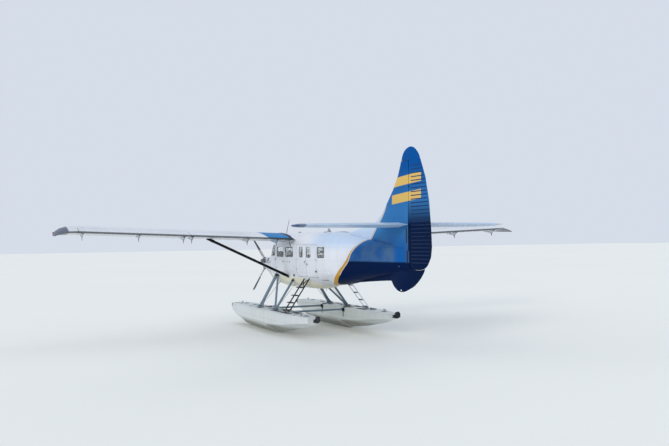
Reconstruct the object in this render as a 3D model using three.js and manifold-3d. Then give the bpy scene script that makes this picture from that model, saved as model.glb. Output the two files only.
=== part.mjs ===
// A single-engine, high-wing utility aircraft on twin floats.
// Millimetres. X runs forward from the rudder's hinge line, Y to port, Z up from the float keels.
// At the end the whole group is moved aft so that X = 0 is the middle of the aircraft's length.
import * as THREE from "three";
import { mergeVertices } from "three/addons/utils/BufferGeometryUtils.js";
import Module from "manifold-3d";

const wasm = await Module();
wasm.setup();

// Driving dimensions
const TOUCH = 0.3; // gap between pieces that touch
const CLEAR = 12; // gap round a moving surface
const WALL = 50; // cabin wall and doors
const GLASS = 8;
const GLASS_INSET = 8; // how deep the panes sit behind the skin

const SPAN = 17690;
const WING_CHORD = 1980;
const WING_THICKNESS = 0.16;
const WING_CAMBER = 0.02;
const WING_ROOT_Y = 790;
const WING_TE_X = 6890;
const WING_TE_Z = 3280;
const INCIDENCE = Math.tan(THREE.MathUtils.degToRad(2.5));
const DIHEDRAL = Math.tan(THREE.MathUtils.degToRad(2.4));
const TIP_START_Y = 8150;
const TIP_SWEEP = 0.15; // share of the lost chord that the trailing edge moves ahead at the tip

const FLAP_Y = [830, 4480];
const AILERON_Y = [4500, 8110];
const SURFACE_HINGE_AHEAD = 380; // hinge of flaps and ailerons, ahead of the trailing edge
const SURFACE_HINGE_BELOW = 120; // and below the trailing edge's height
const SURFACE_NOSE_R = 355; // the nose is an arc round the hinge

const CABIN_REAR_X = 4000;
const CABIN_FRAME_X = 8960; // the windscreen frame starts here
const FIREWALL_X = 9750;
const FIREWALL_THICK = 30;
const FLOOR_Z = 1900;
const ROOF_SPLIT_Z = 3110;
const SILL_SPLIT_Z = 2640;

const WINDOW_Z = [2650, 3020];
const WINDOW_ROUND = 60;

const HUB_X = 12090;
const HUB_Z = 2320;
const PROP_R = 1270;
const SPINNER_TIP_X = 12420;
const COWL_FRONT_X = 11850;

const FIN_TOP_Z = 5820;
const RUDDER_TE_X = -1070;
const TAILPLANE_SPAN = 6460;
const TAILPLANE_Z = 3640;
const TAILPLANE_LE_X = 1420;
const ELEVATOR_HINGE_X = 470;
const ELEVATOR_TE_X = 0;

const FLOAT_Y = 1420; // float centre lines
const FLOAT_HALF = 420;
const DECK_Z = 800;
const FLOAT_BOW_X = 12000;
const FLOAT_STERN_X = 3790;
const STEP_X = 6950;

const MID_X = (SPINNER_TIP_X + RUDDER_TE_X) / 2;

// Materials
const paint = (color, roughness = 0.35, metalness = 0) =>
  new THREE.MeshStandardMaterial({ color, roughness, metalness });
const WHITE = paint(0xe9ebee);
const CREAM = paint(0xe6e2d2);
const BLUE = paint(0x1f62b0);
const NAVY = paint(0x14265e);
const FLOAT_GREY = paint(0xc3c8cb, 0.5, 0.2);
const BLACK = paint(0x14161a, 0.4);
const STEEL = paint(0x8b9096, 0.35, 0.8);
const DARK = paint(0x2b2d31, 0.7);
const SEAT = paint(0x4a4f58, 0.8);
const PANE = new THREE.MeshStandardMaterial({
  color: 0x9fb4bd, roughness: 0.08, metalness: 0, transparent: true, opacity: 0.35,
});

const aircraft = new THREE.Group();
aircraft.position.x = -MID_X;

// A closed geometry as a solid, and a solid as a geometry
function solid(geometry) {
  const bare = geometry.clone();
  bare.deleteAttribute("normal");
  bare.deleteAttribute("uv");
  const merged = mergeVertices(bare, 1e-3);
  return new wasm.Manifold(new wasm.Mesh({
    numProp: 3,
    vertProperties: new Float32Array(merged.attributes.position.array),
    triVerts: new Uint32Array(merged.index.array),
  }));
}

function geometryOf(body) {
  const mesh = body.getMesh();
  const geometry = new THREE.BufferGeometry();
  geometry.setAttribute("position", new THREE.BufferAttribute(mesh.vertProperties.slice(), 3));
  geometry.setIndex(new THREE.BufferAttribute(mesh.triVerts.slice(), 1));
  geometry.computeVertexNormals();
  return geometry;
}

function moved(body, x, y, z) {
  return solid(geometryOf(body).translate(x, y, z));
}

function mirrored(body) {
  const geometry = geometryOf(body);
  const place = geometry.attributes.position;
  for (let i = 0; i < place.count; i += 1) place.setY(i, -place.getY(i));
  const index = geometry.index;
  for (let i = 0; i < index.count; i += 3) {
    const first = index.getX(i);
    index.setX(i, index.getX(i + 1));
    index.setX(i + 1, first);
  }
  return solid(geometry);
}

function join(...bodies) {
  return bodies.reduce((sum, body) => sum.add(body));
}

function cut(body, ...tools) {
  return tools.reduce((left, tool) => left.subtract(tool), body);
}

function place(name, body, material) {
  const mesh = new THREE.Mesh(geometryOf(body), material);
  mesh.name = name;
  aircraft.add(mesh);
}

// The same piece on both sides, made for port
function placePair(name, body, material) {
  place(`${name}_left`, body, material);
  place(`${name}_right`, mirrored(body), material);
}

function box(x0, x1, y0, y1, z0, z1) {
  const geometry = new THREE.BoxGeometry(x1 - x0, y1 - y0, z1 - z0);
  return solid(geometry.translate((x0 + x1) / 2, (y0 + y1) / 2, (z0 + z1) / 2));
}

// A skin through rings of points, closed by a fan at each end
function loft(rings) {
  const count = rings[0].length;
  const points = rings.flat();
  const faces = [];
  for (let ring = 0; ring + 1 < rings.length; ring += 1) {
    for (let i = 0; i < count; i += 1) {
      const a = ring * count + i;
      const b = ring * count + ((i + 1) % count);
      faces.push(a, b, a + count, b, b + count, a + count);
    }
  }
  [[rings[0], 0, true], [rings.at(-1), (rings.length - 1) * count, false]].forEach(([ring, base, flip]) => {
    const centre = ring.reduce((sum, p) => sum.add(p), new THREE.Vector3()).divideScalar(count);
    points.push(centre);
    const hub = points.length - 1;
    for (let i = 0; i < count; i += 1) {
      const a = base + i;
      const b = base + ((i + 1) % count);
      if (flip) faces.push(hub, b, a);
      else faces.push(hub, a, b);
    }
  });
  const geometry = new THREE.BufferGeometry().setFromPoints(points).setIndex(faces);
  return outward(geometry);
}

// Turns a closed geometry's faces outwards if they point in
function outward(geometry) {
  const place = geometry.attributes.position;
  const index = geometry.index;
  const [a, b, c] = [new THREE.Vector3(), new THREE.Vector3(), new THREE.Vector3()];
  let volume = 0;
  for (let i = 0; i < index.count; i += 3) {
    a.fromBufferAttribute(place, index.getX(i));
    b.fromBufferAttribute(place, index.getX(i + 1));
    c.fromBufferAttribute(place, index.getX(i + 2));
    volume += a.dot(b.cross(c));
  }
  if (volume < 0) {
    for (let i = 0; i < index.count; i += 3) {
      const first = index.getX(i);
      index.setX(i, index.getX(i + 1));
      index.setX(i + 1, first);
    }
  }
  return solid(geometry);
}

const vec = (x, y, z) => new THREE.Vector3(x, y, z);

// A bar with an oval section from one point to another; wide is its size along X
function bar(from, to, wide, thick, sides = 12) {
  const along = to.clone().sub(from);
  const across = vec(1, 0, 0).addScaledVector(along, -along.x / along.lengthSq()).normalize();
  const third = along.clone().normalize().cross(across);
  const ring = (centre) => Array.from({ length: sides }, (_, i) => {
    const turn = (2 * Math.PI * i) / sides;
    return centre.clone()
      .addScaledVector(across, (wide / 2) * Math.cos(turn))
      .addScaledVector(third, (thick / 2) * Math.sin(turn));
  });
  return loft([ring(from), ring(to)]);
}

// A round pin or tube between two points, along any direction
function rod(from, to, radius, sides = 12) {
  const along = to.clone().sub(from);
  const geometry = new THREE.CylinderGeometry(radius, radius, along.length(), sides);
  const turn = new THREE.Quaternion().setFromUnitVectors(vec(0, 1, 0), along.clone().normalize());
  geometry.applyQuaternion(turn);
  const centre = from.clone().add(to).divideScalar(2);
  return solid(geometry.translate(centre.x, centre.y, centre.z));
}

// A flat plate: an outline of [across, up] points in a plane, with a thickness
function plateXZ(outline, y0, y1) {
  return outward(prismGeometry(outline.map(([x, z]) => vec(x, y0, z)), vec(0, y1 - y0, 0)));
}

function plateXY(outline, z0, z1) {
  return outward(prismGeometry(outline.map(([x, y]) => vec(x, y, z0)), vec(0, 0, z1 - z0)));
}

function prismGeometry(corners, shift) {
  const flat = corners.map((p) => new THREE.Vector2(p.x, shift.y !== 0 ? p.z : p.y));
  const caps = THREE.ShapeUtils.triangulateShape(flat, []);
  const count = corners.length;
  const points = [...corners, ...corners.map((p) => p.clone().add(shift))];
  const clockwise = THREE.ShapeUtils.isClockWise(flat);
  const faces = [];
  caps.forEach(([a, b, c]) => {
    faces.push(a, b, c, c + count, b + count, a + count);
  });
  for (let i = 0; i < count; i += 1) {
    const j = (i + 1) % count;
    if (clockwise) faces.push(i, j, i + count, j, j + count, i + count);
    else faces.push(j, i, i + count, j, i + count, j + count);
  }
  return new THREE.BufferGeometry().setFromPoints(points).setIndex(faces);
}

const arc = (cx, cy, r, from, to, steps) => Array.from({ length: steps + 1 }, (_, i) => {
  const turn = from + ((to - from) * i) / steps;
  return [cx + r * Math.cos(turn), cy + r * Math.sin(turn)];
});

// Fuselage sections: station, top, bottom, half width, squareness above and below the widest line
const FUSELAGE = [
  // x, top, bottom, half, upper, lower
  [70, 3010, 2330, 48, 2.2, 2.2],
  [700, 3080, 2252, 150, 2.4, 2.2],
  [1700, 3180, 2128, 340, 2.7, 2.3],
  [2800, 3300, 1985, 545, 3.0, 2.5],
  [4000, 3440, 1797, 715, 3.4, 2.7],
  [5000, 3510, 1702, 785, 3.8, 2.9],
  [5500, 3520, 1662, 793, 3.9, 2.9],
  [5800, 3527, 1575, 798, 4.0, 3.0],
  [6050, 3530, 1540, 800, 4.0, 3.0],
  [8400, 3530, 1515, 800, 4.0, 3.0],
  [8870, 3440, 1532, 790, 4.0, 2.9],
  [9300, 3300, 1562, 768, 4.4, 2.8],
  [9530, 3060, 1590, 738, 4.2, 2.7],
  [9790, 2790, 1622, 690, 3.2, 2.6],
];
const RING_POINTS = 32;
const WIDEST = 0.52; // height of the widest line, as a share of the section's height

function sectionRing([x, top, bottom, half, upper, lower], inset) {
  const widest = bottom + WIDEST * (top - bottom);
  return Array.from({ length: RING_POINTS }, (_, i) => {
    const turn = (2 * Math.PI * (i + 0.5)) / RING_POINTS;
    const [c, s] = [Math.cos(turn), Math.sin(turn)];
    const power = 2 / (s > 0 ? upper : lower);
    const rise = s > 0 ? top - inset - widest : widest - bottom - inset;
    const y = (half - inset) * Math.sign(c) * Math.abs(c) ** power;
    const z = widest + rise * Math.sign(s) * Math.abs(s) ** power;
    return vec(x, y, z);
  });
}

function fuselageBody(inset) {
  return loft(FUSELAGE.map((row) => sectionRing(row, inset)));
}

const outerBody = fuselageBody(0);
const innerBody = fuselageBody(WALL);
const wallShell = outerBody.subtract(innerBody);
const glassShell = fuselageBody(GLASS_INSET).subtract(fuselageBody(GLASS_INSET + GLASS));

// A piece made for port, set on its side and cut back to touch the fuselage's skin
const SIDES = [["left", 1], ["right", -1]];
function offSkin(body, side) {
  return cut(side > 0 ? body : mirrored(body), outerBody, moved(outerBody, 0, side * TOUCH, 0),
    moved(outerBody, 0, side * TOUCH, -TOUCH));
}

// Wing section: the upper and lower height over the chord line at a share of the chord from the nose
function aerofoil(share, thickness, camber) {
  const half = 5 * thickness * (0.2969 * Math.sqrt(share) - 0.126 * share - 0.3516 * share ** 2
    + 0.2843 * share ** 3 - 0.1015 * share ** 4);
  const middle = camber * 4 * share * (1 - share);
  return [middle + half, middle - half];
}

const CHORD_STEPS = 12;
function aerofoilLoop(thickness, camber) {
  const turns = Array.from({ length: CHORD_STEPS + 1 }, (_, i) => (Math.PI * i) / CHORD_STEPS);
  const shares = turns.map((turn) => (1 - Math.cos(turn)) / 2);
  const upper = shares.map((share) => [share, aerofoil(share, thickness, camber)[0]]);
  const lower = shares.slice(1).reverse().map((share) => [share, aerofoil(share, thickness, camber)[1]]);
  return [...upper, ...lower];
}

// One rib of the wing at span position y, its chord scaled about the mid-chord, thinned and drooped
function wingRib(y, chordShare, thickShare, droop) {
  const chord = WING_CHORD * chordShare;
  const teX = WING_TE_X + (WING_CHORD - chord) * TIP_SWEEP;
  const teZ = WING_TE_Z + (y - WING_ROOT_Y) * DIHEDRAL - droop;
  return aerofoilLoop(WING_THICKNESS * thickShare, WING_CAMBER).map(([share, height]) => {
    const ahead = (1 - share) * chord;
    return vec(teX + ahead, y, teZ + ahead * INCIDENCE + height * chord);
  });
}

const TIP_RIBS = [
  // y, chord share, thickness share, droop
  [WING_ROOT_Y + TOUCH, 1, 1, 0],
  [TIP_START_Y, 1, 1, 0],
  [8400, 0.97, 0.94, 12],
  [8620, 0.88, 0.82, 50],
  [8760, 0.74, 0.66, 95],
  [SPAN / 2, 0.5, 0.4, 140],
];
const wingBody = loft(TIP_RIBS.map((rib) => wingRib(...rib)));

// Flaps and ailerons turn on hinges below the wing
const hingeX = WING_TE_X + SURFACE_HINGE_AHEAD;
const hingeZ = (y) => WING_TE_Z + (y - WING_ROOT_Y) * DIHEDRAL - SURFACE_HINGE_BELOW;

// All that lies behind an arc round the hinge line, between two span positions
function behindHinge(radius, y0, y1) {
  const rib = (y) => {
    const nose = arc(0, 0, radius, THREE.MathUtils.degToRad(85), THREE.MathUtils.degToRad(-5), 8);
    const outline = [...nose, [radius, -300], [-700, -300], [-700, 600], [nose[0][0], 600]];
    return outline.map(([x, z]) => vec(hingeX + x, y, hingeZ(y) + z));
  };
  const y = [y0, y1];
  return prismBetween(rib(y[0]), rib(y[1]));
}

// A prism between two outlines with the same number of points, caps cut into triangles
function prismBetween(near, far) {
  const flat = near.map((p) => new THREE.Vector2(p.x, p.z));
  const caps = THREE.ShapeUtils.triangulateShape(flat, []);
  const count = near.length;
  const clockwise = THREE.ShapeUtils.isClockWise(flat);
  const faces = [];
  caps.forEach(([a, b, c]) => faces.push(a, b, c, c + count, b + count, a + count));
  for (let i = 0; i < count; i += 1) {
    const j = (i + 1) % count;
    if (clockwise) faces.push(i, j, i + count, j, j + count, i + count);
    else faces.push(j, i, i + count, j, i + count, j + count);
  }
  return outward(new THREE.BufferGeometry().setFromPoints([...near, ...far]).setIndex(faces));
}

const BRACKET_THICK = 14;
const BRACKET_SLOT = 12; // clear width on each side of a bracket
const PIN_R = 9;
const HOLE_R = 9.5;
const bracketYs = { flap: [1350, 2440, 4420], aileron: [4700, 6200, 8000] };

// The fixed arm under the wing, the slot round it in the moving surface, and the pin through both
function wingBracket(y) {
  const z = hingeZ(y);
  const outline = [[hingeX + 720, z + 90], [hingeX + 420, z + 100], [hingeX - 30, z + 22],
    ...arc(hingeX, z, 24, Math.PI * 0.75, Math.PI * 1.5, 5), [hingeX + 520, z + 40]];
  const arm = plateXZ(outline, y - BRACKET_THICK / 2, y + BRACKET_THICK / 2);
  const hole = rod(vec(hingeX, y - 30, z), vec(hingeX, y + 30, z), HOLE_R);
  return cut(arm, hole);
}

function movingLug(y) {
  const z = hingeZ(y);
  const near = BRACKET_THICK / 2 + BRACKET_SLOT;
  const outline = [[hingeX + 60, z + 150], ...arc(hingeX, z, 26, 0, -Math.PI, 6), [hingeX - 230, z + 140]];
  const cheeks = [[-near - BRACKET_THICK, -near], [near, near + BRACKET_THICK]]
    .map(([a, b]) => plateXZ(outline, y + a, y + b));
  const pin = rod(vec(hingeX, y - near - 5, z), vec(hingeX, y + near + 5, z), PIN_R);
  return join(...cheeks, pin);
}

function bracketSlot(y) {
  const z = hingeZ(y);
  const half = BRACKET_THICK / 2 + BRACKET_SLOT;
  const corners = [[-60, -60], [-60, 180], [160, 232], [460, 232], [460, -60]];
  const outline = corners.map(([dx, dz]) => [hingeX + dx, z + dz]);
  return plateXZ(outline, y - half, y + half);
}

function movingSurface([y0, y1], brackets) {
  const blade = wingBody.intersect(behindHinge(SURFACE_NOSE_R, y0, y1));
  const lugs = brackets.map((y) => cut(movingLug(y), behindUpper(y)));
  return join(cut(blade, ...brackets.map(bracketSlot)), ...lugs);
}

// Keeps the lugs' tops inside the surface they hang from
function behindUpper(y) {
  return box(hingeX - 400, hingeX + 300, y - 100, y + 100, hingeZ(y) + 175, hingeZ(y) + 400);
}

const wingCut = behindHinge(SURFACE_NOSE_R + CLEAR, FLAP_Y[0] - 20, AILERON_Y[1] + 20);
const allBrackets = [...bracketYs.flap, ...bracketYs.aileron];
const wing = join(cut(wingBody, wingCut), ...allBrackets.map(wingBracket));
const flap = movingSurface(FLAP_Y, bracketYs.flap);
const aileron = movingSurface(AILERON_Y, bracketYs.aileron);
placePair("wing", wing, WHITE);
placePair("flap", flap, WHITE);
placePair("aileron", aileron, WHITE);

// Wing strut, from the fuselage's lower corner to the wing's underside
const STRUT_FOOT = vec(7750, 740, 1950);
const STRUT_TOP = vec(7830, 3650, 3320);
const STRUT_WIDE = 240;
const STRUT_THICK = 92;
const strutAlong = STRUT_TOP.clone().sub(STRUT_FOOT).normalize();
const strutRaw = bar(
  STRUT_FOOT.clone().addScaledVector(strutAlong, -120),
  STRUT_TOP.clone().addScaledVector(strutAlong, 80),
  STRUT_WIDE, STRUT_THICK, 16,
);
const wingStrut = cut(strutRaw, wing, moved(wing, 0, 0, -TOUCH));
SIDES.forEach(([suffix, side]) => place(`wing_strut_${suffix}`, offSkin(wingStrut, side), BLACK));

// Cabin
const cabinX = [CABIN_REAR_X + TOUCH, FIREWALL_X - TOUCH];
const belly = outerBody.intersect(box(...cabinX, -1000, 1000, 1000, FLOOR_Z));
place("cabin_floor", belly, CREAM);

const centreRib = (y) => aerofoilLoop(WING_THICKNESS, WING_CAMBER).map(([share, height]) => {
  const ahead = (1 - share) * WING_CHORD;
  return vec(WING_TE_X + ahead, y, WING_TE_Z + ahead * INCIDENCE + height * WING_CHORD);
});
const centreSection = loft([centreRib(-WING_ROOT_Y), centreRib(WING_ROOT_Y)]);
const roofShell = wallShell.intersect(box(cabinX[0], CABIN_FRAME_X - TOUCH, -1000, 1000, ROOF_SPLIT_Z, 4000));
place("cabin_roof", join(roofShell, centreSection), WHITE);

// Doors: node, side (1 port), x range, lower edge, window's x range, hinge at its front or rear edge
const DOOR_TOP_Z = 3080;
const CREW_SILL_Z = 2100; // above the front legs, so that the door swings clear of them
const CABIN_SILL_Z = 1990;
const DOORS = [
  ["crew_door_left", 1, [7930, 8900], CREW_SILL_Z, [8010, 8760], "front"],
  ["crew_door_right", -1, [7930, 8900], CREW_SILL_Z, [8010, 8760], "front"],
  ["cabin_door_front", 1, [5880, 6740], CABIN_SILL_Z, [6140, 6480], "front"],
  ["cabin_door_rear", 1, [5010, 5870], CABIN_SILL_Z, [5450, 5820], "rear"],
  ["cabin_door_right", -1, [5010, 5870], CABIN_SILL_Z, [5450, 5820], "front"],
];
// Fixed panes: node, side, x range
const PANES = [
  ["cockpit_window_left", 1, [7060, 7850]],
  ["cockpit_window_right", -1, [7060, 7850]],
  ["rear_window_left", 1, [4410, 4930]],
  ["rear_window_right", -1, [4410, 4930]],
  ["cabin_window_right", -1, [6140, 6480]],
];
const DOOR_GAP = 6;
const HINGE_OUT = 10; // the doors' hinge axes stand off the widest skin line by this
const KNUCKLE_ZS = [2220, 2560];
const KNUCKLE = { height: 30, reach: 70, gap: 1 };
const skinY = 800;

function sideBox(side, [x0, x1], [z0, z1], grow = 0) {
  const [near, far] = side > 0 ? [300, 1000] : [-1000, -300];
  return box(x0 - grow, x1 + grow, near, far, z0 - grow, z1 + grow);
}

// A window's cutter: its long sides straight, its corners round
function windowCutter(side, [x0, x1], grow = 0) {
  const r = WINDOW_ROUND + grow;
  const [z0, z1] = [WINDOW_Z[0] - grow, WINDOW_Z[1] + grow];
  const [a, b] = [x0 - grow, x1 + grow];
  const outline = [
    ...arc(b - r, z1 - r, r, 0, Math.PI / 2, 3),
    ...arc(a + r, z1 - r, r, Math.PI / 2, Math.PI, 3),
    ...arc(a + r, z0 + r, r, Math.PI, Math.PI * 1.5, 3),
    ...arc(b - r, z0 + r, r, Math.PI * 1.5, Math.PI * 2, 3),
  ];
  return side > 0 ? plateXZ(outline, 300, 1000) : plateXZ(outline, -1000, -300);
}

function sideHinge([x0, x1], edge) {
  const x = edge === "front" ? x1 + DOOR_GAP / 2 : x0 - DOOR_GAP / 2;
  return { x, y: skinY + HINGE_OUT, ahead: edge === "front" ? 1 : -1 };
}

function between(a, b) {
  return [Math.min(a, b), Math.max(a, b)];
}

// Knuckles stand on the skin: the fixed one on the wall, the moving one on the door above it
function knuckle(hinge, z, moving) {
  const out = hinge.y + 12;
  const reach = moving ? -hinge.ahead : hinge.ahead;
  const [x0, x1] = between(hinge.x - reach * 12, hinge.x + reach * KNUCKLE.reach);
  const z0 = moving ? z + KNUCKLE.height + KNUCKLE.gap : z;
  return box(x0, x1, skinY - 40, out, z0, z0 + KNUCKLE.height);
}

function pinned(hinge, z, radius, extra) {
  const top = z + KNUCKLE.height + KNUCKLE.gap + extra;
  return rod(vec(hinge.x, hinge.y, z - extra), vec(hinge.x, hinge.y, top), radius);
}

const clearOfDoor = 8;
const sideWalls = {};
[1, -1].forEach((side) => {
  const across = side > 0 ? [0, 1000] : [-1000, 0];
  const region = box(...cabinX, ...across, FLOOR_Z + TOUCH, ROOF_SPLIT_Z - TOUCH);
  const frameRegion = box(CABIN_FRAME_X - TOUCH, 9900, -1000, 1000, SILL_SPLIT_Z - TOUCH, 4000);
  let wall = wallShell.intersect(region).subtract(frameRegion).subtract(centreSection)
    .subtract(moved(centreSection, 0, 0, -TOUCH));
  DOORS.filter((door) => door[1] === side).forEach(([, , xs, sill]) => {
    wall = wall.subtract(sideBox(side, xs, [sill, DOOR_TOP_Z], DOOR_GAP));
  });
  PANES.filter((pane) => pane[1] === side).forEach(([, , xs]) => {
    wall = wall.subtract(windowCutter(side, xs));
  });
  sideWalls[side] = wall;
});

DOORS.forEach(([name, side, xs, sill, windowXs, edge]) => {
  const hinge = sideHinge(xs, edge);
  const flip = (body) => (side > 0 ? body : mirrored(body));
  const panel = wallShell.intersect(sideBox(side, xs, [sill, DOOR_TOP_Z]));
  let door = panel.subtract(windowCutter(side, windowXs));
  KNUCKLE_ZS.forEach((z) => {
    const fixed = cut(knuckle(hinge, z, false), pinned(hinge, z, 6.5, 40));
    const moving = join(knuckle(hinge, z, true), pinned(hinge, z, 6, 0));
    // The wall is cut back round the moving knuckle, and the door round the fixed one
    sideWalls[side] = sideWalls[side].subtract(flip(aroundKnuckle(hinge, z, true)));
    door = door.subtract(flip(aroundKnuckle(hinge, z, false)));
    sideWalls[side] = sideWalls[side].add(flip(fixed));
    door = door.add(flip(moving));
  });
  place(name, door, WHITE);
  place(`${name}_glass`, glassShell.intersect(windowCutter(side, windowXs, -TOUCH)), PANE);
});

function aroundKnuckle(hinge, z, moving) {
  const reach = moving ? -hinge.ahead : hinge.ahead;
  const [x0, x1] = between(hinge.x - reach * 20, hinge.x + reach * 6);
  const z0 = moving ? z + KNUCKLE.height : z;
  return box(x0, x1, skinY - 60, hinge.y + 40, z0 - clearOfDoor, z0 + KNUCKLE.height + clearOfDoor);
}

place("cabin_side_left", sideWalls[1], WHITE);
place("cabin_side_right", sideWalls[-1], WHITE);
PANES.forEach(([name, side, xs]) => {
  place(name, glassShell.intersect(windowCutter(side, xs, -TOUCH)), PANE);
});

// Windscreen: two front panes with a post between them, and a quarter pane on each side
const frontPane = (grow) => {
  const low = 2830 - grow;
  const high = 3215 + grow;
  const outer = 560 + grow;
  const post = 22 - grow;
  return [[post, outer], [-outer, -post]].map(([y0, y1]) => box(9180 - grow, 9900, y0, y1, low, high));
};
const quarterPane = (grow) => {
  const outline = [[9010 - grow, 2690 - grow], [9640 + grow, 2690 - grow], [9640 + grow, 2740],
    [9330 + grow, 3060 + grow], [9010 - grow, 3060 + grow]];
  return [plateXZ(outline, 560 + 34 - grow, 1000), plateXZ(outline, -1000, -560 - 34 + grow)];
};
const frameShell = wallShell.intersect(
  box(CABIN_FRAME_X, cabinX[1], -1000, 1000, SILL_SPLIT_Z, 4000),
);
place("windscreen_frame", cut(frameShell, ...frontPane(0), ...quarterPane(0)), WHITE);
const screenNames = ["windscreen_left", "windscreen_right"];
frontPane(-TOUCH).forEach((cutter, i) => place(screenNames[i], glassShell.intersect(cutter), PANE));
const quarterNames = ["quarter_window_left", "quarter_window_right"];
quarterPane(-TOUCH).forEach((cutter, i) => place(quarterNames[i], glassShell.intersect(cutter), PANE));

const firewallRing = FUSELAGE.at(-1);
const firewall = loft([FIREWALL_X, FIREWALL_X + FIREWALL_THICK]
  .map((x) => sectionRing([x, ...firewallRing.slice(1)], 25)));
place("firewall", firewall, STEEL);

// Rear fuselage, solid behind the cabin
const rearFuselage = outerBody.intersect(box(0, CABIN_REAR_X, -1000, 1000, 1000, 4000));

// Cowling: the same columns as the fuselage
const COWL = [
  [FIREWALL_X + FIREWALL_THICK + TOUCH, 2790, 1622, 690, 3.2, 2.6],
  [10250, 2730, 1735, 605, 2.9, 2.5],
  [10800, 2670, 1870, 500, 2.6, 2.4],
  [11350, 2615, 1995, 385, 2.3, 2.2],
  [11700, 2590, 2060, 315, 2.1, 2.1],
  [COWL_FRONT_X, 2565, 2085, 270, 2, 2],
];
const COWL_WALL = 30;
const cowlOuter = loft(COWL.map((row) => sectionRing(row, 0)));
const cowlInnerRows = COWL.map((row, i) => (i === 0 ? [row[0] - 50, ...row.slice(1)] : row));
const cowlInner = loft(cowlInnerRows.slice(0, 5).map((row) => sectionRing(row, COWL_WALL)));
const intake = box(11500, 11900, -130, 130, 2120, 2180);
const shaftHole = rod(vec(11600, 0, HUB_Z), vec(11900, 0, HUB_Z), 90, 24);
const STACK_X = 11300;
const STACK_Z = 2430;
const STACK_R = 75;
const stackHole = rod(vec(STACK_X, -700, STACK_Z), vec(STACK_X, 700, STACK_Z), STACK_R + 20, 16);
place("cowling", cut(cowlOuter, cowlInner, intake, shaftHole, stackHole), WHITE);

// Engine: one plain block on the firewall, with its shaft's housing and two exhaust stacks
const engineCore = rod(vec(FIREWALL_X + FIREWALL_THICK + TOUCH, 0, HUB_Z), vec(11400, 0, HUB_Z), 215, 16);
const gearbox = rod(vec(11390, 0, HUB_Z), vec(11650, 0, HUB_Z), 150, 16);
const shaft = rod(vec(11640, 0, HUB_Z), vec(COWL_FRONT_X + 60, 0, HUB_Z), 70, 16);
const stack = (side) => {
  const route = new THREE.CatmullRomCurve3([
    vec(STACK_X, 150 * side, STACK_Z), vec(STACK_X, 420 * side, STACK_Z),
    vec(STACK_X - 90, 520 * side, STACK_Z + 10), vec(STACK_X - 260, 570 * side, STACK_Z + 20)]);
  const round = arc(0, 0, STACK_R, 0, Math.PI * 2 * (11 / 12), 11);
  const shape = new THREE.Shape(round.map(([a, b]) => new THREE.Vector2(a, b)));
  return solid(new THREE.ExtrudeGeometry(shape, { steps: 10, extrudePath: route, bevelEnabled: false }));
};
place("engine", join(engineCore, gearbox, shaft, stack(1), stack(-1)), STEEL);

// Propeller: three blades on a hub, and a spinner over it
const BLADES = 3;
const BLADE_START = THREE.MathUtils.degToRad(-90 - 29.3); // one blade hangs down and to port
const hub = rod(vec(COWL_FRONT_X + 60 + TOUCH, 0, HUB_Z), vec(HUB_X + 60, 0, HUB_Z), 95, 24);
const BLADE_ROWS = [
  // radius, chord, thickness, twist in degrees from the plane of rotation; feathered, as it stands parked
  [60, 110, 90, 76],
  [260, 120, 70, 78],
  [420, 205, 40, 80],
  [800, 235, 24, 86],
  [1120, 235, 15, 90],
  [1225, 215, 11, 90],
  [PROP_R, 140, 7, 90],
];
function blade(turn) {
  const out = vec(0, -Math.cos(turn), Math.sin(turn));
  const side = vec(0, Math.sin(turn), Math.cos(turn));
  const rings = BLADE_ROWS.map(([radius, chord, thick, twist]) => {
    const angle = THREE.MathUtils.degToRad(twist);
    const along = side.clone().multiplyScalar(Math.cos(angle))
      .addScaledVector(vec(1, 0, 0), Math.sin(angle));
    const across = along.clone().cross(out);
    return Array.from({ length: 12 }, (_, i) => {
      const a = (2 * Math.PI * i) / 12;
      return vec(HUB_X, 0, HUB_Z).addScaledVector(out, radius)
        .addScaledVector(along, (chord / 2) * Math.cos(a)).addScaledVector(across, (thick / 2) * Math.sin(a));
    });
  });
  return loft(rings);
}
const blades = Array.from({ length: BLADES }, (_, i) => blade(BLADE_START + (2 * Math.PI * i) / BLADES));
const spinnerBase = 11925;
const spinnerProfile = [[0, spinnerBase], [250, spinnerBase], [248, 12020], [228, 12130], [186, 12240],
  [128, 12340], [60, 12402], [0, SPINNER_TIP_X]];
const spinnerGeometry = new THREE.LatheGeometry(spinnerProfile.map(([r, x]) => new THREE.Vector2(r, x)), 24);
spinnerGeometry.rotateZ(-Math.PI / 2).translate(0, 0, HUB_Z);
const spinnerFull = solid(spinnerGeometry);
const propellerRaw = join(hub, ...blades);
const spinnerHollow = rod(vec(spinnerBase - 10, 0, HUB_Z), vec(12150, 0, HUB_Z), 95 + TOUCH, 24);
const bladeRooms = Array.from({ length: BLADES }, (_, i) => {
  const turn = BLADE_START + (2 * Math.PI * i) / BLADES;
  return rod(vec(HUB_X, 0, HUB_Z), vec(HUB_X, -300 * Math.cos(turn), HUB_Z + 300 * Math.sin(turn)), 70, 16);
});
place("propeller", propellerRaw, DARK);
place("spinner", cut(spinnerFull, spinnerHollow, ...bladeRooms), STEEL);

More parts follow.
